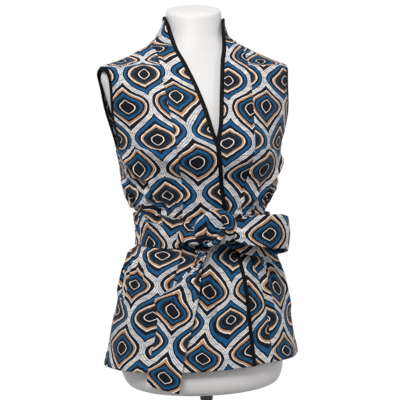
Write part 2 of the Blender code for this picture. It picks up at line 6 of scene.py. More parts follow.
import bpy
import numpy as np
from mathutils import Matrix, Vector


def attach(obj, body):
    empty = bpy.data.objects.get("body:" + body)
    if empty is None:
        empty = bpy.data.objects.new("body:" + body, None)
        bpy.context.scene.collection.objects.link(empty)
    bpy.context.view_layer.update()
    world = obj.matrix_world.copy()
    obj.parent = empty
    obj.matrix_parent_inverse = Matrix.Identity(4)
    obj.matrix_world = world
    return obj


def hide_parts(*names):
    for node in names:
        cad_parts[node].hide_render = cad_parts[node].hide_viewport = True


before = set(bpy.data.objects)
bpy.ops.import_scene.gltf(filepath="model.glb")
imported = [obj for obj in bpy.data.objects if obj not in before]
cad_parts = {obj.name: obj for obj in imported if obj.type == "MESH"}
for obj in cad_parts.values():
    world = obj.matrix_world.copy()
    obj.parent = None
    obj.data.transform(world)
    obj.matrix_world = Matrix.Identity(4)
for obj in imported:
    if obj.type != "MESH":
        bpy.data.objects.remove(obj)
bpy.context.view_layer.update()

# ------------------------------------------------------------------ sizes
CLOTH_T = 0.0016
BINDING_W = 0.0070
SEAM_GAP = 0.0003
LAP = 0.0046
UNDERARM_Z = 0.667
TIP_Z = 0.823
NECK_Z = 0.8682
COLLAR_TOP_Z = 0.9160
TOP_Z = COLLAR_TOP_Z - (BINDING_W + SEAM_GAP) * 0.95
BELT_LOW_Z = 0.484
BELT_HIGH_Z = 0.545
HEM_Z = 0.270

LEAN = [
    (0.200, -0.0020), (0.270, -0.0075), (0.330, -0.0068), (0.410, -0.0042), (0.460, -0.0065), (0.512, -0.0092),
    (0.667, -0.0140), (0.825, -0.0195), (0.940, -0.0220),
]
# at its sides the foot of the collar leans to the wearer's right: height, shift
COLLAR_LEAN = [
    (0.200, 0.0), (0.700, 0.0), (0.836, 0.0), (0.848, -0.0038), (0.858, -0.0054), (0.868, -0.0056),
    (0.878, -0.0044), (0.889, -0.0020), (0.900, -0.0008), (0.920, 0.0), (0.940, 0.0),
]
# height, half width, depth in front, depth behind, how far back the side lies
GARMENT_RINGS = [
    (0.2300, 0.1990, 0.1310, 0.1310, 0.000),
    (0.2700, 0.1935, 0.1270, 0.1270, 0.000),
    (0.3100, 0.1840, 0.1230, 0.1240, 0.000),
    (0.3500, 0.1760, 0.1180, 0.1200, 0.000),
    (0.3910, 0.1645, 0.1120, 0.1150, 0.000),
    (0.4300, 0.1538, 0.1050, 0.1080, 0.000),
    (0.4600, 0.1445, 0.0985, 0.1010, 0.000),
    (0.4720, 0.1404, 0.0955, 0.0968, 0.000),
    (0.4790, 0.1366, 0.0924, 0.0929, 0.000),
    (0.4850, 0.1275, 0.0890, 0.0890, 0.000),
    (0.4930, 0.1205, 0.0875, 0.0875, 0.000),
    (0.5125, 0.1195, 0.0870, 0.0870, 0.000),
    (0.5440, 0.1215, 0.0885, 0.0875, 0.000),
    (0.5580, 0.1275, 0.0960, 0.0920, 0.000),
    (0.5680, 0.1350, 0.1015, 0.0955, 0.000),
    (0.5800, 0.1440, 0.1065, 0.0990, 0.000),
    (0.5910, 0.1500, 0.1090, 0.1005, 0.000),
    (0.6040, 0.1540, 0.1105, 0.1015, 0.000),
    (0.6160, 0.1565, 0.1125, 0.1025, 0.000),
    (0.6270, 0.1568, 0.1137, 0.1030, 0.000),
    (0.6400, 0.1552, 0.1147, 0.1040, 0.000),
    (0.6670, 0.1560, 0.1160, 0.1060, 0.000),
    (0.7000, 0.1640, 0.1140, 0.1080, 0.001),
    (0.7450, 0.1760, 0.1060, 0.1080, 0.003),
    (0.7880, 0.1820, 0.0900, 0.1020, 0.006),
    (0.8100, 0.1850, 0.0800, 0.0950, 0.009),
    (0.8230, 0.1800, 0.0735, 0.0900, 0.010),
    (0.8320, 0.1550, 0.0690, 0.0850, 0.011),
    (0.8430, 0.1265, 0.0640, 0.0790, 0.011),
    (0.8550, 0.1010, 0.0600, 0.0720, 0.012),
    (0.8650, 0.0845, 0.0570, 0.0660, 0.012),
    (0.8760, 0.0720, 0.0550, 0.0620, 0.013),
    (0.8880, 0.0642, 0.0530, 0.0595, 0.013),
    (0.9000, 0.0594, 0.0520, 0.0580, 0.014),
    (0.9300, 0.0545, 0.0500, 0.0560, 0.015),
]
# the same for the form, and its share of the neck cap's slope
FORM_RINGS = [
    (0.2172, 0.1160, 0.0760, 0.0780, 0.000, 0.0),
    (0.2200, 0.1310, 0.0890, 0.0910, 0.000, 0.0),
    (0.2272, 0.1455, 0.0990, 0.1010, 0.000, 0.0),
    (0.2400, 0.1530, 0.1050, 0.1070, 0.000, 0.0),
    (0.2580, 0.1575, 0.1070, 0.1100, 0.000, 0.0),
    (0.3000, 0.1560, 0.1060, 0.1110, 0.000, 0.0),
    (0.3600, 0.1520, 0.1020, 0.1080, 0.000, 0.0),
    (0.4200, 0.1380, 0.0940, 0.0980, 0.000, 0.0),
    (0.4700, 0.1200, 0.0840, 0.0850, 0.000, 0.0),
    (0.5125, 0.1085, 0.0790, 0.0780, 0.000, 0.0),
    (0.5500, 0.1075, 0.0810, 0.0790, 0.000, 0.0),
    (0.5750, 0.1110, 0.0850, 0.0820, 0.000, 0.0),
    (0.6000, 0.1200, 0.0910, 0.0875, 0.000, 0.0),
    (0.6250, 0.1320, 0.0970, 0.0920, 0.000, 0.0),
    (0.6500, 0.1420, 0.1020, 0.0960, 0.000, 0.0),
    (0.7000, 0.1530, 0.1040, 0.1000, 0.001, 0.0),
    (0.7450, 0.1670, 0.0970, 0.1000, 0.003, 0.0),
    (0.7830, 0.1765, 0.0830, 0.0950, 0.006, 0.0),
    (0.8010, 0.1800, 0.0755, 0.0900, 0.009, 0.0),
    (0.8130, 0.1785, 0.0700, 0.0840, 0.010, 0.0),
    (0.8230, 0.1650, 0.0660, 0.0800, 0.011, 0.0),
    (0.8340, 0.1300, 0.0610, 0.0730, 0.011, 0.0),
    (0.8460, 0.0960, 0.0565, 0.0650, 0.012, 0.0),
    (0.8570, 0.0740, 0.0530, 0.0585, 0.012, 0.0),
    (0.8690, 0.0590, 0.0495, 0.0525, 0.013, 0.1),
    (0.8850, 0.0535, 0.0475, 0.0505, 0.013, 0.3),
    (0.9080, 0.0530, 0.0465, 0.0495, 0.014, 0.8),
    (0.9265, 0.0525, 0.0460, 0.0490, 0.015, 1.0),
    (0.9305, 0.0500, 0.0430, 0.0460, 0.015, 1.0),
    (0.9325, 0.0400, 0.0340, 0.0360, 0.015, 1.0),
]
CAP_SLOPE = math.tan(math.radians(20.0))
# x, z, spread sideways, spread in height, size, side (-1 front)
SWELLS = [
    (0.078, 0.668, 0.046, 0.052, 0.0120, -1),
    (-0.078, 0.668, 0.046, 0.052, 0.0120, -1),
    (0.075, 0.740, 0.050, 0.060, 0.0050, 1),
    (-0.075, 0.740, 0.050, 0.060, 0.0050, 1),
    (0.060, 0.330, 0.060, 0.070, 0.0060, 1),
    (-0.060, 0.330, 0.060, 0.070, 0.0060, 1),
]
# broad folds: angle, low, high, spread in degrees, height, drift
FOLDS = [
    (-158, 0.22, 0.470, 13, 0.0060, 0),
    (-124, 0.22, 0.470, 12, 0.0055, 20),
    (-92, 0.22, 0.470, 11, 0.0040, -15),
    (-56, 0.22, 0.468, 12, 0.0040, 20),
    (52, 0.22, 0.468, 12, 0.0045, -20),
    (88, 0.22, 0.470, 11, 0.0045, 15),
    (122, 0.22, 0.470, 12, 0.0055, -10),
    (160, 0.22, 0.470, 13, 0.0060, 10),
    (-165, 0.552, 0.640, 9, 0.0040, 0),
    (-140, 0.552, 0.650, 8, 0.0045, 60),
    (-116, 0.552, 0.660, 8, 0.0050, -60),
    (-92, 0.552, 0.640, 8, 0.0050, 50),
    (-64, 0.552, 0.650, 8, 0.0040, -70),
    (-38, 0.552, 0.630, 7, 0.0030, -60),
    (34, 0.552, 0.630, 7, 0.0030, 60),
    (62, 0.552, 0.650, 8, 0.0040, 70),
    (90, 0.552, 0.640, 8, 0.0050, -40),
    (116, 0.552, 0.660, 8, 0.0050, 50),
    (142, 0.552, 0.640, 8, 0.0045, -60),
    (168, 0.552, 0.650, 9, 0.0040, 0),
]
HEM_RISE = [
    (-180.0, 0.0020), (-90.0, -0.0020), (-45.0, 0.0000), (0.0, 0.0040),
    (30.0, 0.0075), (90.0, 0.0070), (180.0, 0.0020),
]
FRONT_EDGE = [
    (0.220, 0.0735), (0.270, 0.0700), (0.310, 0.0655), (0.390, 0.0545),
    (0.470, 0.0435), (0.512, 0.033), (0.565, 0.021), (0.620, 0.012),
    (0.677, 0.003), (0.693, -0.003), (0.744, -0.014), (0.790, -0.026),
    (0.828, -0.038), (0.850, -0.046), (0.875, -0.0500), (0.892, -0.0520),
    (0.906, -0.0545),
]
# how much further in the left front's edge lies
LEFT_EDGE_IN = [
    (0.220, 0.0), (0.700, 0.0), (0.720, 0.0002), (0.760, 0.0030), (0.800, 0.0055),
    (0.847, 0.0088), (0.887, 0.0088), (0.906, 0.0050), (0.920, 0.0035),
]
BUST_SEAM = [
    (0.220, 0.121), (0.270, 0.115), (0.350, 0.101), (0.430, 0.080),
    (0.512, 0.055), (0.590, 0.060), (0.664, 0.071), (0.728, 0.077),
    (0.774, 0.081), (0.830, 0.083), (0.850, 0.083), (0.858, 0.083),
    (0.864, 0.0815), (0.868, 0.0800),
]
ARMHOLE = [
    (0.6670, 90.0, 90.0), (0.6700, 83.0, 99.0), (0.6780, 79.5, 103.5),
    (0.6950, 77.0, 106.5), (0.7200, 74.2, 107.5), (0.7500, 69.8, 107.0),
    (0.7800, 66.6, 105.0), (0.8000, 65.2, 102.5), (0.8130, 66.0, 98.5),
    (0.8190, 70.0, 95.5), (0.8230, 88.5, 91.5),
]

# Creases of the fine cloth, placed one by one: the two ends (angle, height),
# half width and height in metres (a trough is below zero).
CREASE_COLUMNS = ("angle_1", "z_1", "angle_2", "z_2", "half_width", "height")
CREASES = [
    # right side of the wearer, over the belt: the bunched cloth
    (-97, 0.549, -86, 0.612, 0.0050, 0.0034),
    (-90, 0.549, -74, 0.598, 0.0040, -0.0022),
    (-84, 0.549, -63, 0.590, 0.0045, 0.0036),
    (-78, 0.551, -52, 0.628, 0.0060, -0.0026),
    (-72, 0.549, -60, 0.580, 0.0035, 0.0026),
    (-66, 0.549, -44, 0.600, 0.0050, 0.0030),
    (-60, 0.550, -40, 0.572, 0.0035, -0.0020),
    (-53, 0.549, -39, 0.586, 0.0040, 0.0026),
    (-46, 0.549, -30, 0.640, 0.0055, -0.0018),
    (-40, 0.549, -31, 0.583, 0.0035, 0.0020),
    (-31, 0.549, -27, 0.601, 0.0045, 0.0017),
    (-24, 0.549, -17, 0.572, 0.0030, -0.0014),
    (-88, 0.620, -58, 0.655, 0.0060, 0.0026),
    (-92, 0.640, -66, 0.668, 0.0055, -0.0022),
    (-85, 0.598, -66, 0.622, 0.0045, 0.0020),
    # middle and left of the wearer, over the belt
    (14, 0.549, 9, 0.590, 0.0040, 0.0016),
    (22, 0.549, 19, 0.575, 0.0030, -0.0014),
    (30, 0.549, 24, 0.612, 0.0045, 0.0022),
    (38, 0.549, 36, 0.583, 0.0035, -0.0018),
    (44, 0.549, 35, 0.600, 0.0045, 0.0028),
    (52, 0.549, 41, 0.634, 0.0055, -0.0022),
    (58, 0.549, 50, 0.586, 0.0040, 0.0030),
    (66, 0.550, 54, 0.603, 0.0045, -0.0020),
    (73, 0.549, 62, 0.618, 0.0050, 0.0034),
    (82, 0.549, 77, 0.590, 0.0040, -0.0024),
    (90, 0.549, 79, 0.607, 0.0050, 0.0034),
    (90, 0.630, 62, 0.658, 0.0060, 0.0024),
    (93, 0.648, 70, 0.672, 0.0050, -0.0018),
    # the back, over the belt
    (99, 0.549, 104, 0.600, 0.0050, 0.0028),
    (108, 0.549, 110, 0.583, 0.0040, -0.0022),
    (117, 0.549, 112, 0.618, 0.0055, 0.0032),
    (127, 0.549, 133, 0.596, 0.0045, -0.0022),
    (135, 0.549, 131, 0.586, 0.0040, 0.0026),
    (146, 0.549, 150, 0.622, 0.0055, 0.0028),
    (155, 0.549, 153, 0.585, 0.0040, -0.0020),
    (164, 0.549, 160, 0.604, 0.0050, 0.0028),
    (175, 0.549, 179, 0.590, 0.0045, -0.0020),
    (-174, 0.549, -171, 0.612, 0.0050, 0.0026),
    (-163, 0.549, -166, 0.584, 0.0040, -0.0020),
    (-153, 0.549, -149, 0.606, 0.0050, 0.0030),
    (-143, 0.549, -145, 0.590, 0.0042, -0.0020),
    (-133, 0.549, -137, 0.620, 0.0055, 0.0030),
    (-122, 0.549, -118, 0.588, 0.0042, -0.0022),
    (-112, 0.549, -114, 0.602, 0.0048, 0.0030),
    (-104, 0.549, -101, 0.586, 0.0040, -0.0020),
    # under the belt, all round
    (-99, 0.481, -104, 0.410, 0.0055, 0.0032),
    (-90, 0.481, -92, 0.440, 0.0042, -0.0022),
    (-82, 0.481, -85, 0.395, 0.0060, 0.0034),
    (-74, 0.481, -74, 0.445, 0.0040, -0.0020),
    (-66, 0.481, -69, 0.418, 0.0052, 0.0028),
    (-57, 0.481, -56, 0.450, 0.0040, -0.0018),
    (-49, 0.481, -53, 0.405, 0.0055, 0.0024),
    (-40, 0.481, -41, 0.446, 0.0040, -0.0014),
    (-20, 0.487, -16, 0.395, 0.0050, 0.0018),
    (-11, 0.487, -5, 0.330, 0.0060, -0.0022),
    (-4, 0.484, 3, 0.420, 0.0045, 0.0020),
    (5, 0.482, 12, 0.380, 0.0055, -0.0012),
    (27, 0.481, 31, 0.420, 0.0048, 0.0022),
    (37, 0.481, 38, 0.447, 0.0038, -0.0018),
    (46, 0.481, 50, 0.405, 0.0055, 0.0028),
    (55, 0.481, 56, 0.440, 0.0042, -0.0020),
    (64, 0.481, 68, 0.395, 0.0060, 0.0032),
    (74, 0.481, 75, 0.446, 0.0042, -0.0020),
    (84, 0.481, 88, 0.410, 0.0055, 0.0034),
    (94, 0.481, 95, 0.448, 0.0042, -0.0020),
    (103, 0.481, 106, 0.405, 0.0055, 0.0030),
    (113, 0.481, 113, 0.440, 0.0042, -0.0020),
    (123, 0.481, 126, 0.398, 0.0058, 0.0032),
    (134, 0.481, 135, 0.450, 0.0042, -0.0018),
    (144, 0.481, 147, 0.410, 0.0055, 0.0028),
    (155, 0.481, 154, 0.440, 0.0042, -0.0018),
    (166, 0.481, 168, 0.404, 0.0055, 0.0028),
    (178, 0.481, 179, 0.445, 0.0042, -0.0018),
    (-170, 0.481, -173, 0.410, 0.0055, 0.0028),
    (-159, 0.481, -160, 0.447, 0.0042, -0.0018),
    (-148, 0.481, -152, 0.400, 0.0058, 0.0030),
    (-137, 0.481, -137, 0.442, 0.0042, -0.0020),
    (-126, 0.481, -130, 0.408, 0.0055, 0.0030),
    (-116, 0.481, -116, 0.444, 0.0042, -0.0020),
    (-107, 0.481, -111, 0.420, 0.0050, 0.0028),
    # from the underarms and over the chest
    (-87, 0.662, -58, 0.648, 0.0065, 0.0022),
    (-84, 0.676, -64, 0.690, 0.0060, -0.0018),
    (-73, 0.705, -60, 0.672, 0.0060, 0.0018),
    (84, 0.662, 56, 0.640, 0.0065, 0.0020),
    (80, 0.680, 62, 0.696, 0.0060, -0.0016),
    (72, 0.712, 58, 0.680, 0.0060, 0.0016),
    (-66, 0.790, -40, 0.742, 0.0080, 0.0014),
    (64, 0.786, 38, 0.748, 0.0080, 0.0013),
    (-30, 0.700, -12, 0.640, 0.0075, 0.0016),
    (26, 0.690, 12, 0.625, 0.0075, 0.0014),
    (-20, 0.640, -12, 0.575, 0.0055, -0.0014),
    (100, 0.668, 124, 0.640, 0.0065, 0.0020),
    (106, 0.690, 122, 0.700, 0.0060, -0.0014),
    (-100, 0.668, -126, 0.644, 0.0065, 0.0020),
    (-106, 0.692, -124, 0.704, 0.0060, -0.0014),
    (112, 0.800, 140, 0.775, 0.0080, 0.0014),
    (-112, 0.800, -138, 0.770, 0.0080, 0.0014),
    (150, 0.690, 168, 0.655, 0.0090, 0.0016),
    (-152, 0.700, -170, 0.660, 0.0090, 0.0016),
    # the roll of the collar into the shoulder
    (-88, 0.876, -52, 0.868, 0.0045, -0.0012),
    (88, 0.876, 52, 0.868, 0.0045, -0.0012),
    (-84, 0.850, -46, 0.836, 0.0060, 0.0012),
    (84, 0.850, 46, 0.836, 0.0060, 0.0012),
    # the skirt, lower down
    (-72, 0.330, -70, 0.275, 0.0090, 0.0016),
    (-30, 0.350, -27, 0.275, 0.0110, 0.0018),
    (33, 0.345, 36, 0.285, 0.0090, -0.0016),
    (70, 0.340, 73, 0.280, 0.0100, 0.0018),
    (108, 0.345, 109, 0.275, 0.0100, -0.0018),
    (140, 0.350, 143, 0.272, 0.0110, 0.0018),
    (-110, 0.350, -112, 0.272, 0.0100, -0.0018),
    (-143, 0.345, -145, 0.272, 0.0110, 0.0018),
]


# Longer folds: points (angle, height), width on the side to the left of the
# way along them, width on the other side, height.
FOLD_LINES = [
    # the big tuck from the right underarm down to the belt
    ([(-78, 0.657), (-73.5, 0.6505), (-61.5, 0.628), (-57.2, 0.618), (-49, 0.605), (-48.2, 0.5855), (-47.8, 0.5615)], 0.0110, 0.0026, 0.0062),
    ([(-80, 0.646), (-70, 0.632), (-61, 0.616), (-53, 0.600), (-52, 0.582), (-51, 0.562)], 0.0026, 0.0060, -0.0034),
    # the deep trough beside it, near the side seam
    ([(-96, 0.618), (-92.8, 0.601), (-84, 0.5805), (-74.8, 0.557), (-71, 0.549)], 0.0040, 0.0045, -0.0078),
    ([(-90, 0.618), (-84, 0.600), (-76, 0.584), (-67, 0.566), (-62, 0.551)], 0.0070, 0.0042, 0.0060),
    ([(-104, 0.612), (-101, 0.594), (-94, 0.572), (-88, 0.551)], 0.0055, 0.0040, 0.0055),
    ([(-73, 0.600), (-67, 0.588), (-60, 0.577), (-57, 0.566)], 0.0036, 0.0030, -0.0040),
    # crumples over the belt, next to the knot
    ([(-58, 0.585), (-54, 0.577), (-49, 0.566), (-45.5, 0.556)], 0.0034, 0.0022, 0.0048),
    ([(-61, 0.571), (-55, 0.563), (-49, 0.556), (-44, 0.552)], 0.0030, 0.0026, -0.0044),
    ([(-44, 0.580), (-40, 0.566), (-36, 0.553)], 0.0036, 0.0024, 0.0034),
    ([(-36, 0.600), (-31, 0.578), (-28, 0.556)], 0.0050, 0.0030, 0.0026),
    # left of the wearer, over the belt
    ([(78, 0.655), (66, 0.634), (56, 0.612), (49, 0.586), (46, 0.556)], 0.0034, 0.0100, 0.0050),
    ([(84, 0.640), (72, 0.622), (62, 0.602), (55, 0.578), (52, 0.556)], 0.0060, 0.0030, -0.0036),
    ([(98, 0.618), (91, 0.598), (83, 0.576), (78, 0.553)], 0.0045, 0.0045, -0.0064),
    ([(91, 0.616), (83, 0.598), (75, 0.578), (70, 0.553)], 0.0036, 0.0066, 0.0052),
    ([(40, 0.592), (36, 0.575), (33, 0.555)], 0.0026, 0.0040, 0.0040),
    ([(28, 0.588), (24, 0.570), (21, 0.554)], 0.0024, 0.0036, 0.0032),
    ([(16, 0.574), (14, 0.562), (12, 0.552)], 0.0024, 0.0030, 0.0026),
    # the back, over the belt
    ([(112, 0.650), (124, 0.622), (130, 0.590), (133, 0.556)], 0.0090, 0.0034, 0.0044),
    ([(-112, 0.652), (-125, 0.624), (-132, 0.592), (-134, 0.556)], 0.0034, 0.0090, 0.0044),
    ([(152, 0.612), (157, 0.588), (158, 0.556)], 0.0060, 0.0034, 0.0036),
    ([(-150, 0.616), (-156, 0.590), (-159, 0.556)], 0.0034, 0.0060, 0.0036),
    ([(104, 0.600), (108, 0.580), (111, 0.555)], 0.0040, 0.0036, -0.0046),
    ([(-106, 0.602), (-110, 0.580), (-113, 0.555)], 0.0036, 0.0040, -0.0046),
    # the skirt: the fold under the knot, and the sides
    ([(-11, 0.470), (-9, 0.440), (-6.2, 0.4045), (-4.5, 0.3655), (-1, 0.325)], 0.0050, 0.0024, 0.0050),
    ([(-8, 0.468), (-5, 0.436), (-2.4, 0.400), (-0.5, 0.362)], 0.0030, 0.0050, -0.0034),
    ([(-86, 0.478), (-91, 0.455), (-95, 0.425), (-98, 0.385)], 0.0070, 0.0034, 0.0052),
    ([(-80, 0.478), (-82, 0.452), (-86, 0.420), (-87, 0.380)], 0.0040, 0.0048, -0.0046),
    ([(-70, 0.478), (-72, 0.452), (-72, 0.420), (-75, 0.375)], 0.0060, 0.0040, 0.0044),
    ([(-58, 0.476), (-60, 0.450), (-60, 0.418)], 0.0040, 0.0040, -0.0034),
    ([(-32, 0.476), (-33, 0.448), (-31, 0.400), (-33, 0.350)], 0.0060, 0.0040, 0.0034),
    ([(34, 0.478), (37, 0.448), (38, 0.405), (42, 0.350)], 0.0040, 0.0070, 0.0046),
    ([(42, 0.476), (46, 0.446), (47, 0.410)], 0.0040, 0.0040, -0.0038),
    ([(60, 0.478), (64, 0.450), (66, 0.410), (71, 0.350)], 0.0040, 0.0075, 0.0050),
    ([(72, 0.478), (76, 0.450), (77, 0.412)], 0.0040, 0.0040, -0.0044),
    ([(90, 0.478), (95, 0.450), (98, 0.412), (101, 0.360)], 0.0044, 0.0070, 0.0052),
    ([(112, 0.478), (116, 0.448), (118, 0.405), (123, 0.350)], 0.0046, 0.0066, 0.0046),
    ([(132, 0.478), (134, 0.448), (138, 0.400)], 0.0048, 0.0052, 0.0040),
    ([(152, 0.478), (154, 0.445), (156, 0.398), (155, 0.340)], 0.0052, 0.0050, 0.0040),
    ([(174, 0.478), (173, 0.445), (176, 0.400)], 0.0046, 0.0050, 0.0036),
    ([(-166, 0.478), (-165, 0.446), (-168, 0.400), (-172, 0.345)], 0.0050, 0.0052, 0.0042),
    ([(-146, 0.478), (-149, 0.446), (-150, 0.402)], 0.0046, 0.0052, 0.0040),
    ([(-128, 0.478), (-132, 0.446), (-134, 0.400), (-139, 0.345)], 0.0066, 0.0046, 0.0046),
    ([(-110, 0.478), (-114, 0.450), (-115, 0.410)], 0.0060, 0.0044, 0.0044),
    # drag from the bust to the front edge, and from shoulder to chest
    ([(-56, 0.668), (-40, 0.655), (-24, 0.628), (-14, 0.598)], 0.0090, 0.0060, 0.0026),
    ([(50, 0.665), (34, 0.640), (20, 0.606)], 0.0060, 0.0090, 0.0022),
]


# ---------------------------------------------------------------- numbers
class Curve:
    """A smooth value through rising points that never overshoots."""

    def __init__(self, xs, ys):
        x, y = np.array(xs, float), np.array(ys, float)
        step = np.diff(y) / np.diff(x)
        m = np.zeros(len(x))
        m[0], m[-1] = step[0], step[-1]
        for i in range(1, len(x) - 1):
            a, b = step[i - 1], step[i]
            if a * b > 0:
                ha, hb = x[i] - x[i - 1], x[i + 1] - x[i]
                wa, wb = 2 * hb + ha, hb + 2 * ha
                m[i] = (wa + wb) / (wa / a + wb / b)
        self.x, self.y, self.m = x, y, m

    def __call__(self, at):
        at = np.clip(np.asarray(at, float), self.x[0], self.x[-1])
        k = np.clip(np.searchsorted(self.x, at, side="right") - 1, 0, len(self.x) - 2)
        h = self.x[k + 1] - self.x[k]
        t = (at - self.x[k]) / h
        return (
            (2 * t**3 - 3 * t**2 + 1) * self.y[k]
            + (t**3 - 2 * t**2 + t) * h * self.m[k]
            + (3 * t**2 - 2 * t**3) * self.y[k + 1]
            + (t**3 - t**2) * h * self.m[k + 1]
        )


def column(rows, i):
    return Curve([r[0] for r in rows], [r[i] for r in rows])


def soft_step(t):
    t = np.clip(t, 0.0, 1.0)
    return t * t * (3 - 2 * t)


def wrapped(a):
    return (a + 180.0) % 360.0 - 180.0


MIDDLE = column(LEAN, 1)
FOOT_SHIFT = column(COLLAR_LEAN, 1)
HALF, FRONT, BACK, SIDE_Y = (column(GARMENT_RINGS, i) for i in (1, 2, 3, 4))
HEM = column(HEM_RISE, 1)
EDGE = column(FRONT_EDGE, 1)
NECK_LEAN = column(LEFT_EDGE_IN, 1)
SEAM = column(BUST_SEAM, 1)
ARM_FRONT, ARM_BACK = column(ARMHOLE, 1), column(ARMHOLE, 2)


def swell(x, z, front):
    out = np.zeros(np.broadcast(x, z).shape)
    for sx, sz, wide, high, size, face in SWELLS:
        here = front if face < 0 else ~front
        out += here * size * np.exp(-(((x - sx) / wide) ** 2) - ((z - sz) / high) ** 2)
    return out


def slope(angle, z):
    """The left shoulder sits a little higher than the right one."""
    up = soft_step((z - 0.765) / 0.045) * soft_step((0.892 - z) / 0.030)
    side = np.sin(np.radians(angle))
    return np.where(side > 0, 0.0062, 0.0048) * side * up


def base(angle, z):
    angle, z = np.broadcast_arrays(np.asarray(angle, float), np.asarray(z, float))
    t = np.radians(angle)
    s, c = np.sin(t), np.cos(t)
    front = c >= 0
    x = HALF(z) * s
    y = -np.where(front, FRONT(z), BACK(z)) * c
    push = swell(x, z, front) * np.minimum(1.0, np.abs(c) * 1.6)
    y = y + np.where(front, -push, push)
    rise = HEM(wrapped(angle)) * soft_step((0.380 - z) / 0.100)
    foot = FOOT_SHIFT(z) * soft_step((np.abs(s) - 0.72) / 0.25)
    return np.stack([MIDDLE(z) + foot + x, SIDE_Y(z) + y, z + rise + slope(angle, z)], -1)


def unit(v):
    return v / np.maximum(np.linalg.norm(v, axis=-1, keepdims=True), 1e-12)


def normal(angle, z):
    along = base(angle + 0.8, z) - base(angle - 0.8, z)
    up = base(angle, z + 0.0015) - base(angle, z - 0.0015)
    return unit(np.cross(along, up))


def broad_folds(angle, z):
    out = np.zeros(np.broadcast(angle, z).shape)
    for mid, low, high, spread, size, drift in FOLDS:
        here = (z > low) & (z < high)
        centre = mid + drift * (z - (low + high) / 2)
        away = wrapped(angle - centre)
        share = np.clip((z - low) / (high - low), 0, 1)
        if high < 0.5:
            grow = soft_step(1.15 * (1 - share))
        else:
            grow = np.sin(np.pi * np.minimum(1.0, share * 0.9 + 0.10)) ** 0.8
        out += here * size * grow * (np.exp(-((away / spread) ** 2)) - 0.25)
    return out


def fine_creases(angle, z):
    """Each crease is a soft ridge or trough along a slightly bowed line."""
    out = np.zeros(np.broadcast(angle, z).shape)
    for n, (a1, z1, a2, z2, wide, high) in enumerate(CREASES):
        r = 0.85 * float(HALF((z1 + z2) / 2)) + 0.15 * float(FRONT((z1 + z2) / 2))
        mid = a1 + wrapped(a2 - a1) / 2
        q = np.radians(wrapped(angle - mid)) * r
        p1 = np.array([math.radians(wrapped(a1 - mid)) * r, z1])
        p2 = np.array([math.radians(wrapped(a2 - mid)) * r, z2])
        d = p2 - p1
        length = float(np.hypot(*d))
        ux, uz = d / length
        along = ((q - p1[0]) * ux + (z - p1[1]) * uz) / length
        across = -(q - p1[0]) * uz + (z - p1[1]) * ux
        bow = (0.10 if n % 2 else -0.08) * length
        across = across - bow * np.sin(np.pi * np.clip(along, 0, 1))
        side = np.where(across > 0, 1.25 if n % 3 else 0.8, 0.8 if n % 3 else 1.2)
        grow = soft_step(along / 0.18 + 0.35) * soft_step((1 - along) / 0.55)
        grow = np.where((along < -0.2) | (along > 1.0), 0.0, grow)
        start = np.clip(1 + along / 0.2, 0, 1)
        out += high * grow * start * np.exp(-((across / (wide * side)) ** 2))
    return out


def crease_lines(angle, z):
    """Folds along several points: soft on one side, and sharp on the other if hard."""
    out = np.zeros(np.broadcast(angle, z).shape)
    for points, soft, hard, high in FOLD_LINES:
        pa = np.array([p[0] for p in points], float)
        pz = np.array([p[1] for p in points], float)
        mid_a, mid_z = pa.mean(), pz.mean()
        r = 0.85 * float(HALF(mid_z)) + 0.15 * float(FRONT(mid_z))
        q = np.radians(wrapped(angle - mid_a)) * r
        pq = np.radians(wrapped(pa - mid_a)) * r
        step = np.hypot(np.diff(pq), np.diff(pz))
        run = np.concatenate([[0], np.cumsum(step)])
        # a finer line through the points
        at = np.linspace(0, run[-1], 40)
        lq, lz = Curve(run, pq)(at), Curve(run, pz)(at)
        best = np.full(out.shape, 1e9)
        across = np.zeros(out.shape)
        along = np.zeros(out.shape)
        reach = 3.2 * max(soft, hard) + 0.004
        near = (
            (q > lq.min() - reach) & (q < lq.max() + reach)
            & (z > lz.min() - reach) & (z < lz.max() + reach)
        )
        if not near.any():
            continue
        qn, zn = q[near], np.broadcast_to(z, q.shape)[near]
        b = np.full(qn.shape, 1e9)
        ac, al = np.zeros(qn.shape), np.zeros(qn.shape)
        for i in range(len(at) - 1):
            dq, dz = lq[i + 1] - lq[i], lz[i + 1] - lz[i]
            size = math.hypot(dq, dz)
            if size < 1e-9:
                continue
            t = np.clip(((qn - lq[i]) * dq + (zn - lz[i]) * dz) / size**2, 0, 1)
            cq, cz = qn - lq[i] - t * dq, zn - lz[i] - t * dz
            d = np.hypot(cq, cz)
            closer = d < b
            sign = np.where(-cq * dz + cz * dq >= 0, 1.0, -1.0)
            b = np.where(closer, d, b)
            ac = np.where(closer, d * sign, ac)
            al = np.where(closer, at[i] + t * size, al)
        ends = soft_step(al / (0.22 * run[-1])) * soft_step((run[-1] - al) / (0.22 * run[-1]))
        wide = np.where(ac >= 0, soft, hard)
        here = high * (0.12 + 0.88 * ends) * np.exp(-((ac / wide) ** 2))
        beyond = (al <= 0) | (al >= run[-1])
        here = np.where(beyond, here * np.exp(-((b / soft) ** 2)), here)
        out[near] += here
    return out


def belt_squeeze(z):
    """1 where the belt presses the cloth flat, 0 away from it."""
    return soft_step((z - 0.474) / 0.010) * soft_step((0.556 - z) / 0.010)


def lap(angle, z):
    x = HALF(z) * np.sin(np.radians(angle))
    hidden = -EDGE(z)
    across = soft_step((x - (hidden - 0.046)) / 0.030)
    here = np.abs(wrapped(angle)) <= 90
    return LAP * across * soft_step((0.800 - z) / 0.085) * here


def relief(angle, z):
    fine = fine_creases(angle, z) + 1.3 * crease_lines(angle, z)
    return broad_folds(angle, z) + fine * (1 - 0.85 * belt_squeeze(z))


def cloth(angle, z, out=0.0, over=False):
    lift = lap(angle, z) if over else 0.0
    r = relief(angle, z)
    return base(angle, z) + normal(angle, z) * (r + lift + out)[..., None]


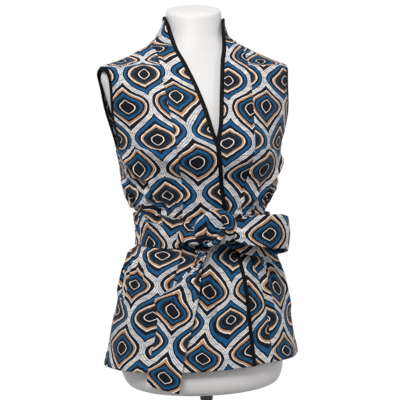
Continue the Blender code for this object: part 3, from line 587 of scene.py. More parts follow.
def angle_of(x, z):
    return np.degrees(np.arcsin(np.clip(x / HALF(z), -1.0, 1.0)))


def per_metre(angle, z):
    return 2.0 / np.linalg.norm(base(angle + 1, z) - base(angle - 1, z), axis=-1)


# ----------------------------------------------------------------- meshes
def make_object(name, points, faces, uv, mats, face_mat=None):
    me = bpy.data.meshes.new(name)
    pts = np.asarray(points, float)
    me.from_pydata(pts.tolist(), [], [list(map(int, f)) for f in faces])
    if uv is not None:
        layer = me.uv_layers.new(name="print_m")
        idx = np.zeros(len(me.loops), np.int32)
        me.loops.foreach_get("vertex_index", idx)
        layer.uv.foreach_set("vector", np.asarray(uv, np.float32)[idx].ravel())
    me.polygons.foreach_set("use_smooth", np.ones(len(me.polygons), bool))
    me.update()
    ob = bpy.data.objects.new(name, me)
    bpy.context.scene.collection.objects.link(ob)
    for m in mats if isinstance(mats, (list, tuple)) else [mats]:
        me.materials.append(m)
    return ob


def quads(idx):
    """Faces between the rows of an index grid; rows go up, columns to +angle."""
    a, b = idx[:-1, :-1], idx[:-1, 1:]
    c, d = idx[1:, 1:], idx[1:, :-1]
    return np.stack([a, b, c, d], -1).reshape(-1, 4)


def wall(ob, thickness, side=-1.0):
    m = ob.modifiers.new("wall", "SOLIDIFY")
    m.thickness = thickness
    m.offset = side
    m.use_even_offset = False
    m.use_quality_normals = True
    return ob


def heights(low, high, step):
    n = max(2, int(round((high - low) / step)))
    return np.linspace(low, high, n + 1)


def measured(points):
    """Running length along each row."""
    across = np.zeros(points.shape[:2])
    across[:, 1:] = np.cumsum(np.linalg.norm(np.diff(points, axis=1), axis=-1), 1)
    return across


def seam_roll(dist, size=0.0008, spread=0.0026):
    return -size * np.exp(-((dist / spread) ** 2))


def hem_fold(z):
    """The turned hem: a slightly thicker edge with a shallow line above it."""
    up = z - HEM_Z
    return 0.0006 * soft_step((0.024 - up) / 0.003) - 0.0005 * np.exp(
        -(((up - 0.0245) / 0.0016) ** 2)
    )


HALF_GAP = SEAM_GAP / 2
EDGE_ROOM = BINDING_W + SEAM_GAP


def seam_angle(z):
    """The seam over the bust; it runs out on the shoulder line by the neck."""
    a = angle_of(SEAM(z), z)
    t = soft_step((z - 0.8560) / (NECK_Z - 0.8565))
    return a + (90.0 - a) * t


def edge_angle(z, side=-1):
    """The finished front edge, counted outwards from the middle."""
    near = NECK_LEAN(z) if side > 0 else 0.0
    a = -angle_of(EDGE(z) + near, z)
    corner = np.clip((z - 0.8960) / (TOP_Z - 0.8960), 0, 1)
    return a + 6.0 * corner**3


def row_sets():
    return np.concatenate(
        [
            heights(HEM_Z, 0.470, 0.0030)[:-1],
            heights(0.470, 0.484, 0.0020)[:-1],
            heights(0.484, 0.546, 0.0050)[:-1],
            heights(0.546, 0.612, 0.0017)[:-1],
            heights(0.612, UNDERARM_Z, 0.0024)[:-1],
            heights(UNDERARM_Z, 0.680, 0.0013)[:-1],
            heights(0.680, 0.800, 0.0036)[:-1],
            heights(0.800, TIP_Z, 0.0012)[:-1],
            heights(TIP_Z, NECK_Z - 0.0006, 0.0014),
        ]
    )


def side_panel(name, side, mat, offset):
    z = row_sets()
    n = 78
    inner = seam_angle(z)
    inner = inner + HALF_GAP * per_metre(inner, z)
    arm = (z >= UNDERARM_Z - 1e-6) & (z <= TIP_Z + 1e-6)
    outer = np.where(arm, ARM_FRONT(z), 90.0)
    outer = outer - HALF_GAP * per_metre(outer, z)
    t = np.linspace(0, 1, n + 1)
    a = inner[:, None] + (np.maximum(outer, inner + 0.05) - inner)[:, None] * t[None]
    zz = np.repeat(z[:, None], n + 1, 1)
    across = measured(base(a, zz))
    total = across[:, -1:]
    roll = seam_roll(across) + seam_roll(total - across) * (~arm)[:, None]
    pts = cloth(side * a, zz, CLOTH_T + roll + hem_fold(zz), side < 0)
    u = across
    v = np.zeros_like(u)
    mid = n // 2
    v[1:] = np.cumsum(np.linalg.norm(np.diff(pts[:, mid], axis=0), axis=-1))[:, None]
    uv = np.stack([side * u + offset[0], v + offset[1]], -1)
    idx = np.arange(pts.shape[0] * (n + 1)).reshape(-1, n + 1)
    if side < 0:
        idx = idx[:, ::-1]
    ob = make_object(name, pts.reshape(-1, 3), quads(idx), uv.reshape(-1, 2), mat)
    return wall(ob, 0.0014)


def center_panel(name, side, mat, offset):
    z = row_sets()
    zc = np.concatenate([[NECK_Z], heights(0.8700, TOP_Z, 0.0022)])
    z = np.concatenate([z, zc])
    first = len(z) - len(zc)
    n = 74
    edge = edge_angle(z, side)
    edge = edge + EDGE_ROOM * per_metre(edge, z) - 0.0004 * per_metre(edge, z)
    outer = np.where(z < NECK_Z - 1e-6, seam_angle(z), 90.0)
    below = z < NECK_Z - 1e-6
    outer = outer - np.where(below, HALF_GAP * per_metre(outer, z), 0.0)
    t = np.linspace(0, 1, n + 1)
    a = edge[:, None] + (outer - edge)[:, None] * t[None]
    zz = np.repeat(z[:, None], n + 1, 1)
    across = measured(base(a, zz))
    roll = seam_roll(across[:, -1:] - across) * below[:, None]
    pts = cloth(side * a, zz, CLOTH_T + roll + hem_fold(zz), side < 0)
    # cloth is laid so that its lengthwise grain follows the column in the middle
    u = across - across[:, n // 2][:, None]
    v = np.zeros_like(u)
    v[1:] = np.cumsum(np.linalg.norm(np.diff(pts[:, n // 2], axis=0), axis=-1))[:, None]
    uv = np.stack([side * u + offset[0], v + offset[1]], -1)
    idx = np.arange(pts.shape[0] * (n + 1)).reshape(-1, n + 1)
    # the back half of the collar
    m = 44
    tb = np.linspace(0, 1, m + 1)[1:]
    zb = z[first:]
    stop = 180.0 - HALF_GAP * per_metre(180.0, zb)
    ab = 90.0 + (stop - 90.0)[:, None] * tb[None]
    zzb = np.repeat(zb[:, None], m, 1)
    step = measured(np.concatenate([base(a[first:, -1:], zb[:, None]), base(ab, zzb)], 1))
    rollb = seam_roll(step[:, -1:] - step[:, 1:])
    bottom = seam_roll(zzb - NECK_Z)
    ptsb = cloth(side * ab, zzb, CLOTH_T + rollb + bottom, side < 0)
    ub = u[first:, -1:] + step[:, 1:]
    vb = np.repeat(v[first:, :1], m, 1)
    uvb = np.stack([side * ub + offset[0], vb + offset[1]], -1)
    count = pts.shape[0] * (n + 1)
    idxb = count + np.arange(ptsb.shape[0] * m).reshape(-1, m)
    idxb = np.concatenate([idx[first:, -1:], idxb], 1)
    if side < 0:
        idx, idxb = idx[:, ::-1], idxb[:, ::-1]
    faces = np.concatenate([quads(idx), quads(idxb)])
    points = np.concatenate([pts.reshape(-1, 3), ptsb.reshape(-1, 3)])
    uv = np.concatenate([uv.reshape(-1, 2), uvb.reshape(-1, 2)])
    return wall(make_object(name, points, faces, uv, mat), 0.0014)


def back_panel(name, mat, offset):
    z = row_sets()
    n = 196
    arm = (z >= UNDERARM_Z - 1e-6) & (z <= TIP_Z + 1e-6)
    start = np.where(arm, ARM_BACK(z), 90.0)
    start = start + HALF_GAP * per_metre(start, z)
    t = np.linspace(0, 1, n + 1)
    a = start[:, None] + (360.0 - 2 * start)[:, None] * t[None]
    zz = np.repeat(z[:, None], n + 1, 1)
    across = measured(base(a, zz))
    total = across[:, -1:]
    roll = (seam_roll(across) + seam_roll(total - across)) * (~arm)[:, None]
    roll = roll + seam_roll(NECK_Z - 0.0006 - zz)
    pts = cloth(a, zz, CLOTH_T + roll + hem_fold(zz))
    mid = n // 2
    u = across - across[:, mid][:, None]
    v = np.zeros_like(u)
    v[1:] = np.cumsum(np.linalg.norm(np.diff(pts[:, mid], axis=0), axis=-1))[:, None]
    uv = np.stack([u + offset[0], v + offset[1]], -1)
    idx = np.arange(pts.shape[0] * (n + 1)).reshape(-1, n + 1)
    ob = make_object(name, pts.reshape(-1, 3), quads(idx), uv.reshape(-1, 2), mat)
    return wall(ob, 0.0014)


def resampled(points, normals, closed, step):
    p = np.asarray(points, float)
    q = np.asarray(normals, float)
    if closed:
        p, q = np.concatenate([p, p[:1]]), np.concatenate([q, q[:1]])
    s = np.concatenate([[0], np.cumsum(np.linalg.norm(np.diff(p, axis=0), axis=-1))])
    n = max(8, int(s[-1] / step))
    at = np.linspace(0, s[-1], n + 1)
    if closed:
        at = at[:-1]
    out = np.stack([np.interp(at, s, p[:, i]) for i in range(3)], -1)
    nor = unit(np.stack([np.interp(at, s, q[:, i]) for i in range(3)], -1))
    return out, nor, at


def smoothed(p, closed, rounds):
    p = p.copy()
    for _ in range(rounds):
        if closed:
            p = (np.roll(p, 1, 0) + 2 * p + np.roll(p, -1, 0)) / 4
        else:
            p[1:-1] = (p[:-2] + 2 * p[1:-1] + p[2:]) / 4
    return p


def bound_edge(name, points, normals, closed, away, mat, width, thick, rounds=6):
    """A folded binding: a flat rounded section swept along the edge."""
    p, q, s = resampled(points, normals, closed, 0.0026)
    if np.ndim(width):
        # a width for each point, carried to the new points by the nearest one
        far = ((p[:, None] - np.asarray(points)[None]) ** 2).sum(-1)
        width = smoothed(np.asarray(width, float)[far.argmin(1)], closed, 6)[:, None, None]
    p, q = smoothed(p, closed, rounds), unit(smoothed(q, closed, rounds))
    if closed:
        tan = unit(np.roll(p, -1, 0) - np.roll(p, 1, 0))
    else:
        tan = np.zeros_like(p)
        tan[1:-1] = p[2:] - p[:-2]
        tan[0], tan[-1] = p[1] - p[0], p[-1] - p[-2]
        tan = unit(tan)
    side = unit(np.cross(tan, q)) * away
    up = unit(np.cross(side, tan)) * away
    k = 16
    t = np.linspace(0, 2 * np.pi, k, endpoint=False)
    c, d = np.cos(t), np.sin(t)
    sx = np.sign(c) * np.abs(c) ** 0.55
    sy = np.sign(d) * np.abs(d) ** 0.75
    pucker = 1 + 0.07 * np.sin(s * 820.0) + 0.05 * np.sin(s * 311.0 + 1.3)
    line = 1 - 0.16 * np.exp(-(((sx + 0.62) / 0.16) ** 2))  # row of stitches
    ring = (
        p[:, None]
        + side[:, None] * (width / 2) * sx[None, :, None]
        + up[:, None] * (thick / 2) * (sy * line)[None, :, None] * pucker[:, None, None]
    )
    m = len(p)
    idx = np.arange(m * k).reshape(m, k)
    if closed:
        idx = np.concatenate([idx, idx[:1]])
    idx = np.concatenate([idx, idx[:, :1]], 1)
    faces = [tuple(f) for f in quads(idx)]
    u = np.repeat(s[:, None], k, 1)
    v = np.repeat((t / (2 * np.pi) * 2 * float(np.max(width)))[None], m, 0)
    uv = np.stack([u, v], -1).reshape(-1, 2)
    points = ring.reshape(-1, 3)
    if not closed:
        ends = np.array([p[0] - tan[0] * thick * 0.25, p[-1] + tan[-1] * thick * 0.25])
        a, b = len(points), len(points) + 1
        points = np.concatenate([points, ends])
        uv = np.concatenate([uv, [[0, 0], [s[-1], 0]]])
        for i in range(k):
            j = (i + 1) % k
            faces.append((a, j, i))
            faces.append((b, (m - 1) * k + i, (m - 1) * k + j))
    ob = make_object(name, points, faces, uv, mat)
    fix_normals(ob)
    return ob


def fix_normals(ob):
    import bmesh

    bm = bmesh.new()
    bm.from_mesh(ob.data)
    bmesh.ops.recalc_face_normals(bm, faces=bm.faces)
    bm.to_mesh(ob.data)
    bm.free()
    ob.data.update()


def front_binding(name, side, mat):
    z = np.concatenate([heights(HEM_Z - 0.0006, 0.8960, 0.004)[:-1], heights(0.8960, TOP_Z, 0.001)])
    a = edge_angle(z, side)
    a = a + (BINDING_W / 2) * per_metre(a, z)
    top = np.linspace(a[-1] + 4.0, 179.9, 40)
    angles = np.concatenate([a, top])
    zs = np.concatenate([z, np.full(len(top), COLLAR_TOP_Z - BINDING_W / 2)])
    zs[len(a) - 3 : len(a)] += np.array([0.0006, 0.0014, 0.0024])
    over = side < 0
    pts = cloth(side * angles, zs, CLOTH_T / 2, over)
    return bound_edge(
        name, pts, normal(side * angles, zs), False, -side, mat,
        BINDING_W + 0.0012, 0.0034, 5,
    )


def armhole_binding(name, side, mat):
    z = np.concatenate([heights(UNDERARM_Z, 0.680, 0.0012)[:-1], heights(0.680, TIP_Z, 0.003)])
    f, b = ARM_FRONT(z), ARM_BACK(z)
    angles = np.concatenate([f, b[::-1][:-1]])
    zs = np.concatenate([z, z[::-1][:-1]])
    pts = cloth(side * angles, zs, CLOTH_T / 2, side < 0)
    nor = normal(side * angles, zs)
    # moved into the hole by half a width
    tan = unit(np.roll(pts, -1, 0) - np.roll(pts, 1, 0))
    inwards = unit(np.cross(tan, nor)) * side
    # from 0.672 to 0.800 m the back of the binding is widened into the hole: partly the binding seen from inside,
    # partly painted shade standing for the shadowed inside of the back
    rear = np.concatenate([np.zeros(len(f)), soft_step((0.800 - z[::-1][:-1]) / 0.040) * soft_step((z[::-1][:-1] - 0.672) / 0.02)])
    wide = BINDING_W * 0.8 + 0.0016 + 0.0042 * rear
    pts = smoothed(pts, True, 3) + inwards * (BINDING_W * 0.8 / 2 + 0.0021 * rear)[:, None]
    return bound_edge(name, pts, nor, True, side, mat, wide, 0.0034, 4)


# ------------------------------------------------------------ belt pieces
KNOT_ANGLE = float(angle_of(-0.0265 - float(MIDDLE(0.5165)), 0.5165))


def belt_section():
    """Places round the flattened tube: share of the half width, and side."""
    th = np.linspace(0, np.pi, 8)[1:-1]
    front, rear = np.linspace(-0.955, 0.955, 40), np.linspace(0.955, -0.955, 16)
    share = np.concatenate([front, 0.955 + 0.045 * np.sin(th), rear, -0.955 - 0.045 * np.sin(th)])
    face = np.concatenate([np.ones(40), np.cos(th), -np.ones(16), -np.cos(th)])
    return share, face


def belt_folds(a, away, share):
    """Pleats of the band: into the knot, and across it where it bends."""
    q = np.radians(away)[:, None] * 0.115
    near = np.exp(-((q / 0.046) ** 2))
    turn = share[None] * 4.4 + 0.5 + 9.0 * q
    folds = 0.0021 * (1 - 2 * np.abs(np.sin(turn)) ** 0.8) * near
    folds = folds + 0.0009 * np.cos(share[None] * 15.0 + 6.0 * np.sign(q)) * near
    for mid, wide, high, lean in BELT_PLEATS:
        off = wrapped(a[:, None] - mid - lean * share[None]) / wide
        sharp = np.where(off > 0, 1.7, 0.75)
        folds = folds + high * np.exp(-((off * sharp) ** 2))
    for qa, sh, wide, high in BELT_CREASES:
        ang = np.radians(wrapped(a - qa)) * 0.12
        line = share[None] - sh - ang[:, None] * 6.0
        folds = folds + high * np.exp(-((ang / 0.030) ** 2))[:, None] * np.exp(-((line / wide) ** 2))
    for left, tip, right, low in BELT_FLAPS:
        # the upper edge is folded down to a point between the two ends
        up = np.clip((a - left) / (tip - left), 0, 1) * (a <= tip) + np.clip((right - a) / (right - tip), 0, 1) * (a > tip)
        border = 1.04 - (1.04 - low) * soft_step(up)
        inside = (a > left) & (a < right)
        folds = folds + 0.0023 * soft_step((share[None] - border[:, None]) / 0.07 + 0.5) * inside[:, None]
    return folds


def belt_band(name, mat):
    """Two layers of cloth pressed flat, drawn together towards the knot."""
    n = 480
    a = wrapped(np.linspace(0, 360, n, endpoint=False))
    away = wrapped(a - KNOT_ANGLE)
    sz, sr = belt_section()
    k = len(sz)
    pinch = 0.25 * np.exp(-((away / 21.0) ** 2))
    wave = 0.0010 * np.sin(np.radians(a * 5 + 40)) + 0.0007 * np.sin(np.radians(a * 11))
    lift = 0.0052 * np.exp(-((wrapped(a + 80) / 48.0) ** 2)) + 0.0016
    mid = (BELT_LOW_Z + BELT_HIGH_Z) / 2 + wave + lift
    half = (BELT_HIGH_Z - BELT_LOW_Z) / 2 * (1 - 2 * pinch)
    half = half * (1 - 0.05 * np.exp(-((wrapped(a + 86) / 14.0) ** 2)))
    z = mid[:, None] + half[:, None] * sz[None]
    ripple = 0.0011 * np.sin(np.radians(a * 13 + 20)) + 0.0007 * np.sin(np.radians(a * 29))
    z = z + ripple[:, None] * np.clip(sz, 0, 1)[None] ** 3
    zb = np.clip(z, 0.4900, 0.5465)
    aa = np.repeat(a[:, None], k, 1)
    b = base(aa, zb) + normal(aa, zb) * lap(aa, zb)[..., None]
    b[..., 2] = z
    nor = normal(aa, np.full_like(zb, 0.5125))
    folds = belt_folds(a, away, sz)
    out = 0.0057 + 0.0016 * sr[None] + folds * np.clip(sr + 0.35, 0, 1)[None]
    pts = b + nor * out[..., None]
    idx = np.arange(n * k).reshape(n, k)
    idx = np.concatenate([idx, idx[:1]])
    idx = np.concatenate([idx, idx[:, :1]], 1)
    u = np.repeat((np.radians(a) * 0.118)[:, None], k, 1)
    v = (sz * 0.0305)[None] + np.zeros_like(u) + 0.031
    for left, tip, right, low in BELT_FLAPS:
        over = (folds > 0.0) & (sz[None] > low) & ((a > left) & (a < right))[:, None]
        u = u + 0.031 * over
    uv = np.stack([u - 0.016, v + 0.056], -1).reshape(-1, 2)
    ob = make_object(name, pts.reshape(-1, 3), quads(idx), uv, mat)
    fix_normals(ob)
    return ob


# where a pleat crosses the band: angle, half width in degrees, height, lean
BELT_PLEATS = [
    (-93.0, 2.6, 0.0015, -1.5), (-85.5, 2.4, 0.0019, 1.5), (-78.5, 2.2, -0.0014, 2.0),
    (-73.5, 2.4, 0.0015, -2.0), (-26.0, 2.6, 0.0022, -7.5), (-33.5, 2.2, -0.0013, -6.0),
    (34.0, 2.6, 0.0016, 6.0), (61.0, 2.6, 0.0014, 2.0), (88.0, 2.4, 0.0018, -1.5),
    (95.0, 2.4, -0.0013, 1.0), (124.0, 2.8, 0.0013, 3.0), (152.0, 3.0, 0.0014, -3.0),
    (176.0, 2.8, 0.0012, 2.5), (-155.0, 2.8, 0.0014, -2.5), (-128.0, 2.8, 0.0014, 3.0), (-106.0, 2.6, 0.0013, -2.0),
]
# where the upper edge is folded down: left end, tip and right end in degrees, and how low
BELT_FLAPS = [(-66.5, -58.0, -46.0, 0.46), (108.0, 119.0, 128.0, 0.60)]

BELT_CREASES = [
    (-62, 0.3, 0.16, 0.0009),
    (-84, -0.4, 0.14, -0.0008),
    (-48, -0.2, 0.12, 0.0010),
    (70, 0.1, 0.16, 0.0009),
    (100, -0.3, 0.14, -0.0008),
    (128, 0.4, 0.15, 0.0009),
    (160, -0.1, 0.16, -0.0008),
    (-165, 0.3, 0.14, 0.0009),
    (-140, -0.3, 0.15, -0.0008),
    (-112, 0.2, 0.15, 0.0009),
]

TAIL = [
    (0.5010, -0.0430, -0.0240, 0.0085),
    (0.4950, -0.0440, -0.0235, 0.0090),
    (0.4900, -0.0450, -0.0230, 0.0130),
    (0.4860, -0.0450, -0.0240, 0.0225),
    (0.4810, -0.0445, -0.0295, 0.0255),
    (0.4730, -0.0445, -0.0345, 0.0225),
    (0.4640, -0.0505, -0.0375, 0.0165),
    (0.4400, -0.0700, -0.0400, 0.0120),
    (0.4130, -0.0985, -0.0440, 0.0118),
    (0.3980, -0.1160, -0.0470, 0.0116),
    (0.3680, -0.1140, -0.0540, 0.0112),
    (0.3400, -0.1180, -0.0610, 0.0096),
    (0.3160, -0.1240, -0.0680, 0.0080),
    (0.2780, -0.1320, -0.0770, 0.0080),
    (0.2480, -0.1360, -0.0820, 0.0080),
]


def belt_tail(name, mat):
    rows = TAIL[::-1]
    left, right, off = (column(rows, i) for i in (1, 2, 3))
    z = heights(0.2480, 0.5010, 0.0024)
    n = 40
    t = np.linspace(0, 1, n + 1)
    lf, rt = left(z), right(z)
    x = lf[:, None] + (rt - lf)[:, None] * t[None]
    hang = np.maximum(z, HEM_Z + 0.004)
    zz = np.repeat(hang[:, None], n + 1, 1)
    a = angle_of(x - MIDDLE(zz), zz)
    b = base(a, zz) + normal(a, zz) * (broad_folds(a, zz) + lap(a, zz))[..., None]
    nor = normal(a, zz)
    open_ = soft_step((0.452 - z) / 0.060)[:, None]
    # the ribbon comes folded out of the knot and opens out downwards
    ridge = (1 - open_) * (0.0028 * np.cos((t[None] - 0.5) * 9.0) + 0.0012 * np.cos(t[None] * 19.0))
    lines = (
        0.0030 * np.exp(-(((t[None] - 0.62 - 0.25 * (0.44 - z)[:, None] * 4) / 0.07) ** 2))
        - 0.0020 * np.exp(-(((t[None] - 0.45 - 0.2 * (0.44 - z)[:, None] * 4) / 0.06) ** 2))
    ) * soft_step((z - 0.330) / 0.09)[:, None]
    sway = 0.0025 * np.sin((z[:, None] - 0.25) * 34.0 + t[None] * 2.2)
    curl = 0.0030 * (2 * t[None] - 1) ** 2 * soft_step((0.33 - z) / 0.06)[:, None]
    out = off(z)[:, None] + ridge + lines + sway * open_ + curl
    pts = b + nor * out[..., None]
    drop = 0.012 * t[None] * soft_step((0.30 - z) / 0.06)[:, None]
    pts[..., 2] = z[:, None] - drop + 0.0 * t[None]
    across = measured(pts)
    v = np.zeros_like(across)
    mid = n // 2
    v[1:] = np.cumsum(np.linalg.norm(np.diff(pts[:, mid], axis=0), axis=-1))[:, None]
    slant = 0.10
    uv = np.stack([across - across[:, mid][:, None] + slant * v + 0.045, v + 0.034], -1)
    # painted shade: inside the knot's hollow the ribbon's print is pinned to one dark navy spot, so the hollow reads as
    # shadowed
    inside = soft_step((z - 0.4845) / 0.003)[:, None]
    hollow_shade_uv = np.stack([0.094 + 0.004 * (t[None] - 0.5) + 0.0 * v, 0.360 + 0.0 * v], -1)
    uv = uv * (1 - inside[..., None]) + hollow_shade_uv * inside[..., None]
    idx = np.arange(len(z) * (n + 1)).reshape(-1, n + 1)
    ob = make_object(name, pts.reshape(-1, 3), quads(idx), uv.reshape(-1, 2), mat)
    wall(ob, 0.0030, 0.0)
    rounded(ob, 0.0012)
    return ob


def rounded(ob, width):
    m = ob.modifiers.new("round", "BEVEL")
    m.width = width
    m.segments = 3
    m.limit_method = "ANGLE"
    m.angle_limit = math.radians(50)
    m.use_clamp_overlap = True
    return ob


LOOP = [
    (-0.0100, -0.1230, 0.5125, 0.5290),
    (0.0010, -0.1285, 0.5125, 0.5350),
    (0.0130, -0.1345, 0.5080, 0.5415),
    (0.0350, -0.1400, 0.5005, 0.5480),
    (0.0650, -0.1390, 0.4950, 0.5515),
    (0.0950, -0.1290, 0.4910, 0.5520),
    (0.1170, -0.1140, 0.4880, 0.5480),
    (0.1265, -0.1015, 0.4835, 0.5432),
    (0.1275, -0.0940, 0.4800, 0.5408),
    (0.1220, -0.0895, 0.4775, 0.5395),
    (0.1080, -0.0920, 0.4755, 0.5400),
    (0.0850, -0.1035, 0.4735, 0.5400),
    (0.0600, -0.1110, 0.4755, 0.5390),
    (0.0350, -0.1140, 0.4825, 0.5350),
    (0.0150, -0.1160, 0.4920, 0.5300),
    (0.0000, -0.1170, 0.4990, 0.5260),
]


def belt_loop(name, mat):
    p = np.array(LOOP)
    s = np.concatenate([[0], np.cumsum(np.hypot(*np.diff(p[:, :2], axis=0).T))])
    n, k = 130, 26
    at = np.linspace(0, s[-1], n + 1)
    x, y, low, high = (Curve(s, p[:, i])(at) for i in range(4))
    # monotone pieces keep the turn round; a light smoothing rounds the rest
    xy = smoothed(np.stack([x, y], -1), False, 12)
    x, y = xy.T
    t = np.linspace(0, 1, k + 1)
    tan = np.gradient(xy, axis=0)
    tan = tan / np.linalg.norm(tan, axis=1, keepdims=True)
    nor = np.stack([tan[:, 1], -tan[:, 0]], -1)  # outside the loop
    total = s[-1]
    near = np.exp(-((at / 0.045) ** 2)) + np.exp(-(((total - at) / 0.045) ** 2))
    folds = near[:, None] * (
        0.0024 * np.cos(t[None] * 13.0 + 0.4) + 0.0014 * np.cos(t[None] * 23.0 + 1.1)
    )
    mid = np.exp(-(((at - total * 0.22) / 0.06) ** 2))[:, None]
    folds = folds + mid * 0.0016 * np.sin(t[None] * 5.0 + at[:, None] * 30.0)
    bow = 0.0035 * np.sin(np.pi * t)[None]
    out = folds + bow
    pts = np.zeros((n + 1, k + 1, 3))
    pts[..., 0] = x[:, None] + nor[:, :1] * out
    # the back of the loop leans forward, so its top lies close behind the front
    back = np.clip((at / total - 0.58) / 0.14, 0, 1) * np.clip((1 - at / total) / 0.14, 0, 1)
    lean = 0.015 * (back * back * (3 - 2 * back))[:, None] * t[None] ** 1.3
    pts[..., 1] = y[:, None] + nor[:, 1:] * out - lean
    pts[..., 2] = low[:, None] + (high - low)[:, None] * t[None]
    pts = pts.transpose(1, 0, 2)
    u = np.repeat(at[None], k + 1, 0)
    v = np.repeat((t * 0.061)[:, None], n + 1, 1)
    uv = np.stack([u + 0.051, v + 0.038], -1)
    idx = np.arange((n + 1) * (k + 1)).reshape(k + 1, n + 1)
    ob = make_object(name, pts.reshape(-1, 3), quads(idx), uv.reshape(-1, 2), mat)
    wall(ob, 0.0030, 0.0)
    rounded(ob, 0.0012)
    return ob


KNOT_PINCH = (-0.0385, -0.1270, 0.5020)
# the hood of the knot: direction from the pinch in degrees, reach in metres
HOOD = [
    (20, 0.0180), (30, 0.0300), (41, 0.0425), (52, 0.0490), (63, 0.0570), (80, 0.0595),
    (93, 0.0515), (108, 0.0450), (122, 0.0365), (140, 0.0240), (155, 0.0150), (175, 0.0100),
]
# the strand round the bow's neck: place, half width, half thickness
NECK_STRAND = [
    (-0.0260, -0.1190, 0.5560, 0.0065, 0.0040),
    (-0.0160, -0.1290, 0.5545, 0.0095, 0.0050),
    (-0.0045, -0.1355, 0.5490, 0.0115, 0.0060),
    (0.0045, -0.1385, 0.5390, 0.0120, 0.0060),
    (0.0070, -0.1385, 0.5280, 0.0115, 0.0060),
    (0.0040, -0.1360, 0.5180, 0.0100, 0.0050),
    (-0.0060, -0.1300, 0.5085, 0.0080, 0.0045),
    (-0.0160, -0.1230, 0.5030, 0.0055, 0.0035),
]
# the rolled edge that runs from the hood's right side into the hollow
ROLLED_EDGE = [
    (-0.0060, -0.1320, 0.5350, 0.0030, 0.0022),
    (-0.0085, -0.1410, 0.5270, 0.0045, 0.0028),
    (-0.0130, -0.1460, 0.5180, 0.0050, 0.0030),
    (-0.0200, -0.1475, 0.5095, 0.0050, 0.0032),
    (-0.0290, -0.1455, 0.5035, 0.0044, 0.0030),
    (-0.0370, -0.1390, 0.5005, 0.0034, 0.0024),
    (-0.0425, -0.1290, 0.5010, 0.0022, 0.0018),
]
# the strand that comes from the left and turns under the hood
LEFT_STRAND = [
    (-0.0780, -0.1010, 0.5235, 0.0190, 0.0030),
    (-0.0690, -0.1100, 0.5190, 0.0165, 0.0045),
    (-0.0590, -0.1170, 0.5120, 0.0125, 0.0055),
    (-0.0510, -0.1210, 0.5065, 0.0085, 0.0050),
    (-0.0455, -0.1190, 0.5035, 0.0050, 0.0040),
]


def strand(rows, facing, uv_at, folds=3, deep=0.0011, n=60, k=28):
    """A rounded, pleated strip of cloth along a line, and its ends closed."""
    p = np.array(rows, float)
    run = np.concatenate([[0], np.cumsum(np.linalg.norm(np.diff(p[:, :3], axis=0), axis=-1))])
    at = np.linspace(0, run[-1], n)
    c = np.stack([Curve(run, p[:, i])(at) for i in range(5)], -1)
    c[:, :3] = smoothed(c[:, :3], False, 10)
    mid, half, thick = c[:, :3], c[:, 3], c[:, 4]
    tan = unit(np.gradient(mid, axis=0))
    up = unit(np.asarray(facing, float) - tan * (tan @ np.asarray(facing, float))[:, None])
    side = np.cross(tan, up)
    t = np.linspace(0, 2 * np.pi, k, endpoint=False)
    cx, sy = np.cos(t), np.sin(t)
    sx = np.sign(cx) * np.abs(cx) ** 0.8
    pleat = deep * np.cos(sx * math.pi * folds + 0.6)[None] * np.clip(sy, 0, 1)[None]
    pleat = pleat * (half / half.max())[:, None]
    ring = (
        mid[:, None]
        + side[:, None] * half[:, None, None] * sx[None, :, None]
        + up[:, None] * (thick[:, None] * sy[None] + pleat)[..., None]
    )
    close = np.sqrt(np.clip(np.minimum(at, run[-1] - at) / 0.0025, 0, 1))
    ring = mid[:, None] + (ring - mid[:, None]) * close[:, None, None]
    u = np.repeat((uv_at[0] + at)[:, None], k, 1)
    v = uv_at[1] + half[:, None] * sx[None]
    idx = np.arange(n * k).reshape(n, k)
    idx = np.concatenate([idx, idx[:, :1]], 1)
    return ring.reshape(-1, 3), quads(idx), np.stack([u, v], -1).reshape(-1, 2)


def joined(parts):
    points, faces, uvs, count = [], [], [], 0
    for p, f, u in parts:
        points.append(p)
        faces.append(np.asarray(f) + count)
        uvs.append(u)
        count += len(p)
    return np.concatenate(points), np.concatenate(faces), np.concatenate(uvs)


def hood():
    """The fold that rises from the hollow, turns over at the top and goes back."""
    n, k = 130, 76
    px_, py_, pz_ = KNOT_PINCH
    fan = np.linspace(22, 172, n + 1)
    reach = Curve([h[0] for h in HOOD], [h[1] for h in HOOD])(fan)
    f = np.radians(fan)
    t = np.linspace(0, 1, k + 1)
    turn = np.pi * t
    share = (1 - np.cos(turn)) / 2
    # slow rise out of the hollow, full near the rim, then tucked in behind
    r = reach[:, None] * (share * (1 - 0.30 * np.clip((t - 0.5) * 2, 0, 1) ** 2))[None] / 0.80
    lift = np.sin(turn) ** 0.8 * (0.55 + 0.75 * share)
    h = 0.0165 * (reach / reach.max())[:, None] ** 0.5 * lift[None]
    env = np.sin(turn)[None] ** 0.7
    crease = (
        0.0017 * np.cos(f * 10.0 + 0.8)[:, None] * (1 - 0.6 * share)[None]
        + 0.0011 * np.cos(f * 19.0 + 0.3)[:, None] * (1 - share)[None]
        + 0.0009 * np.cos(share * 15.0)[None] * np.sin(f * 3.0)[:, None]
    ) * env
    x = px_ + np.cos(f)[:, None] * r * 0.97
    z = pz_ + np.sin(f)[:, None] * r
    y = py_ + 0.0055 - h - crease - 0.004 * np.clip(np.sin(f), 0, 1)[:, None] * share[None]
    y = np.where(t[None] > 0.80, y + 0.004 * ((t[None] - 0.8) / 0.2) ** 2, y)
    pts = np.stack([x, y, z], -1)
    # the cloth is gathered in the pinch and spreads like a fan
    spread = reach[:, None] * (1.16 * t)[None]
    u = 0.188 + np.cos(f)[:, None] * spread
    v = 0.240 + np.sin(f)[:, None] * spread
    idx = np.arange((n + 1) * (k + 1)).reshape(n + 1, k + 1)
    return pts.reshape(-1, 3), quads(idx)[:, ::-1], np.stack([u, v], -1).reshape(-1, 2)


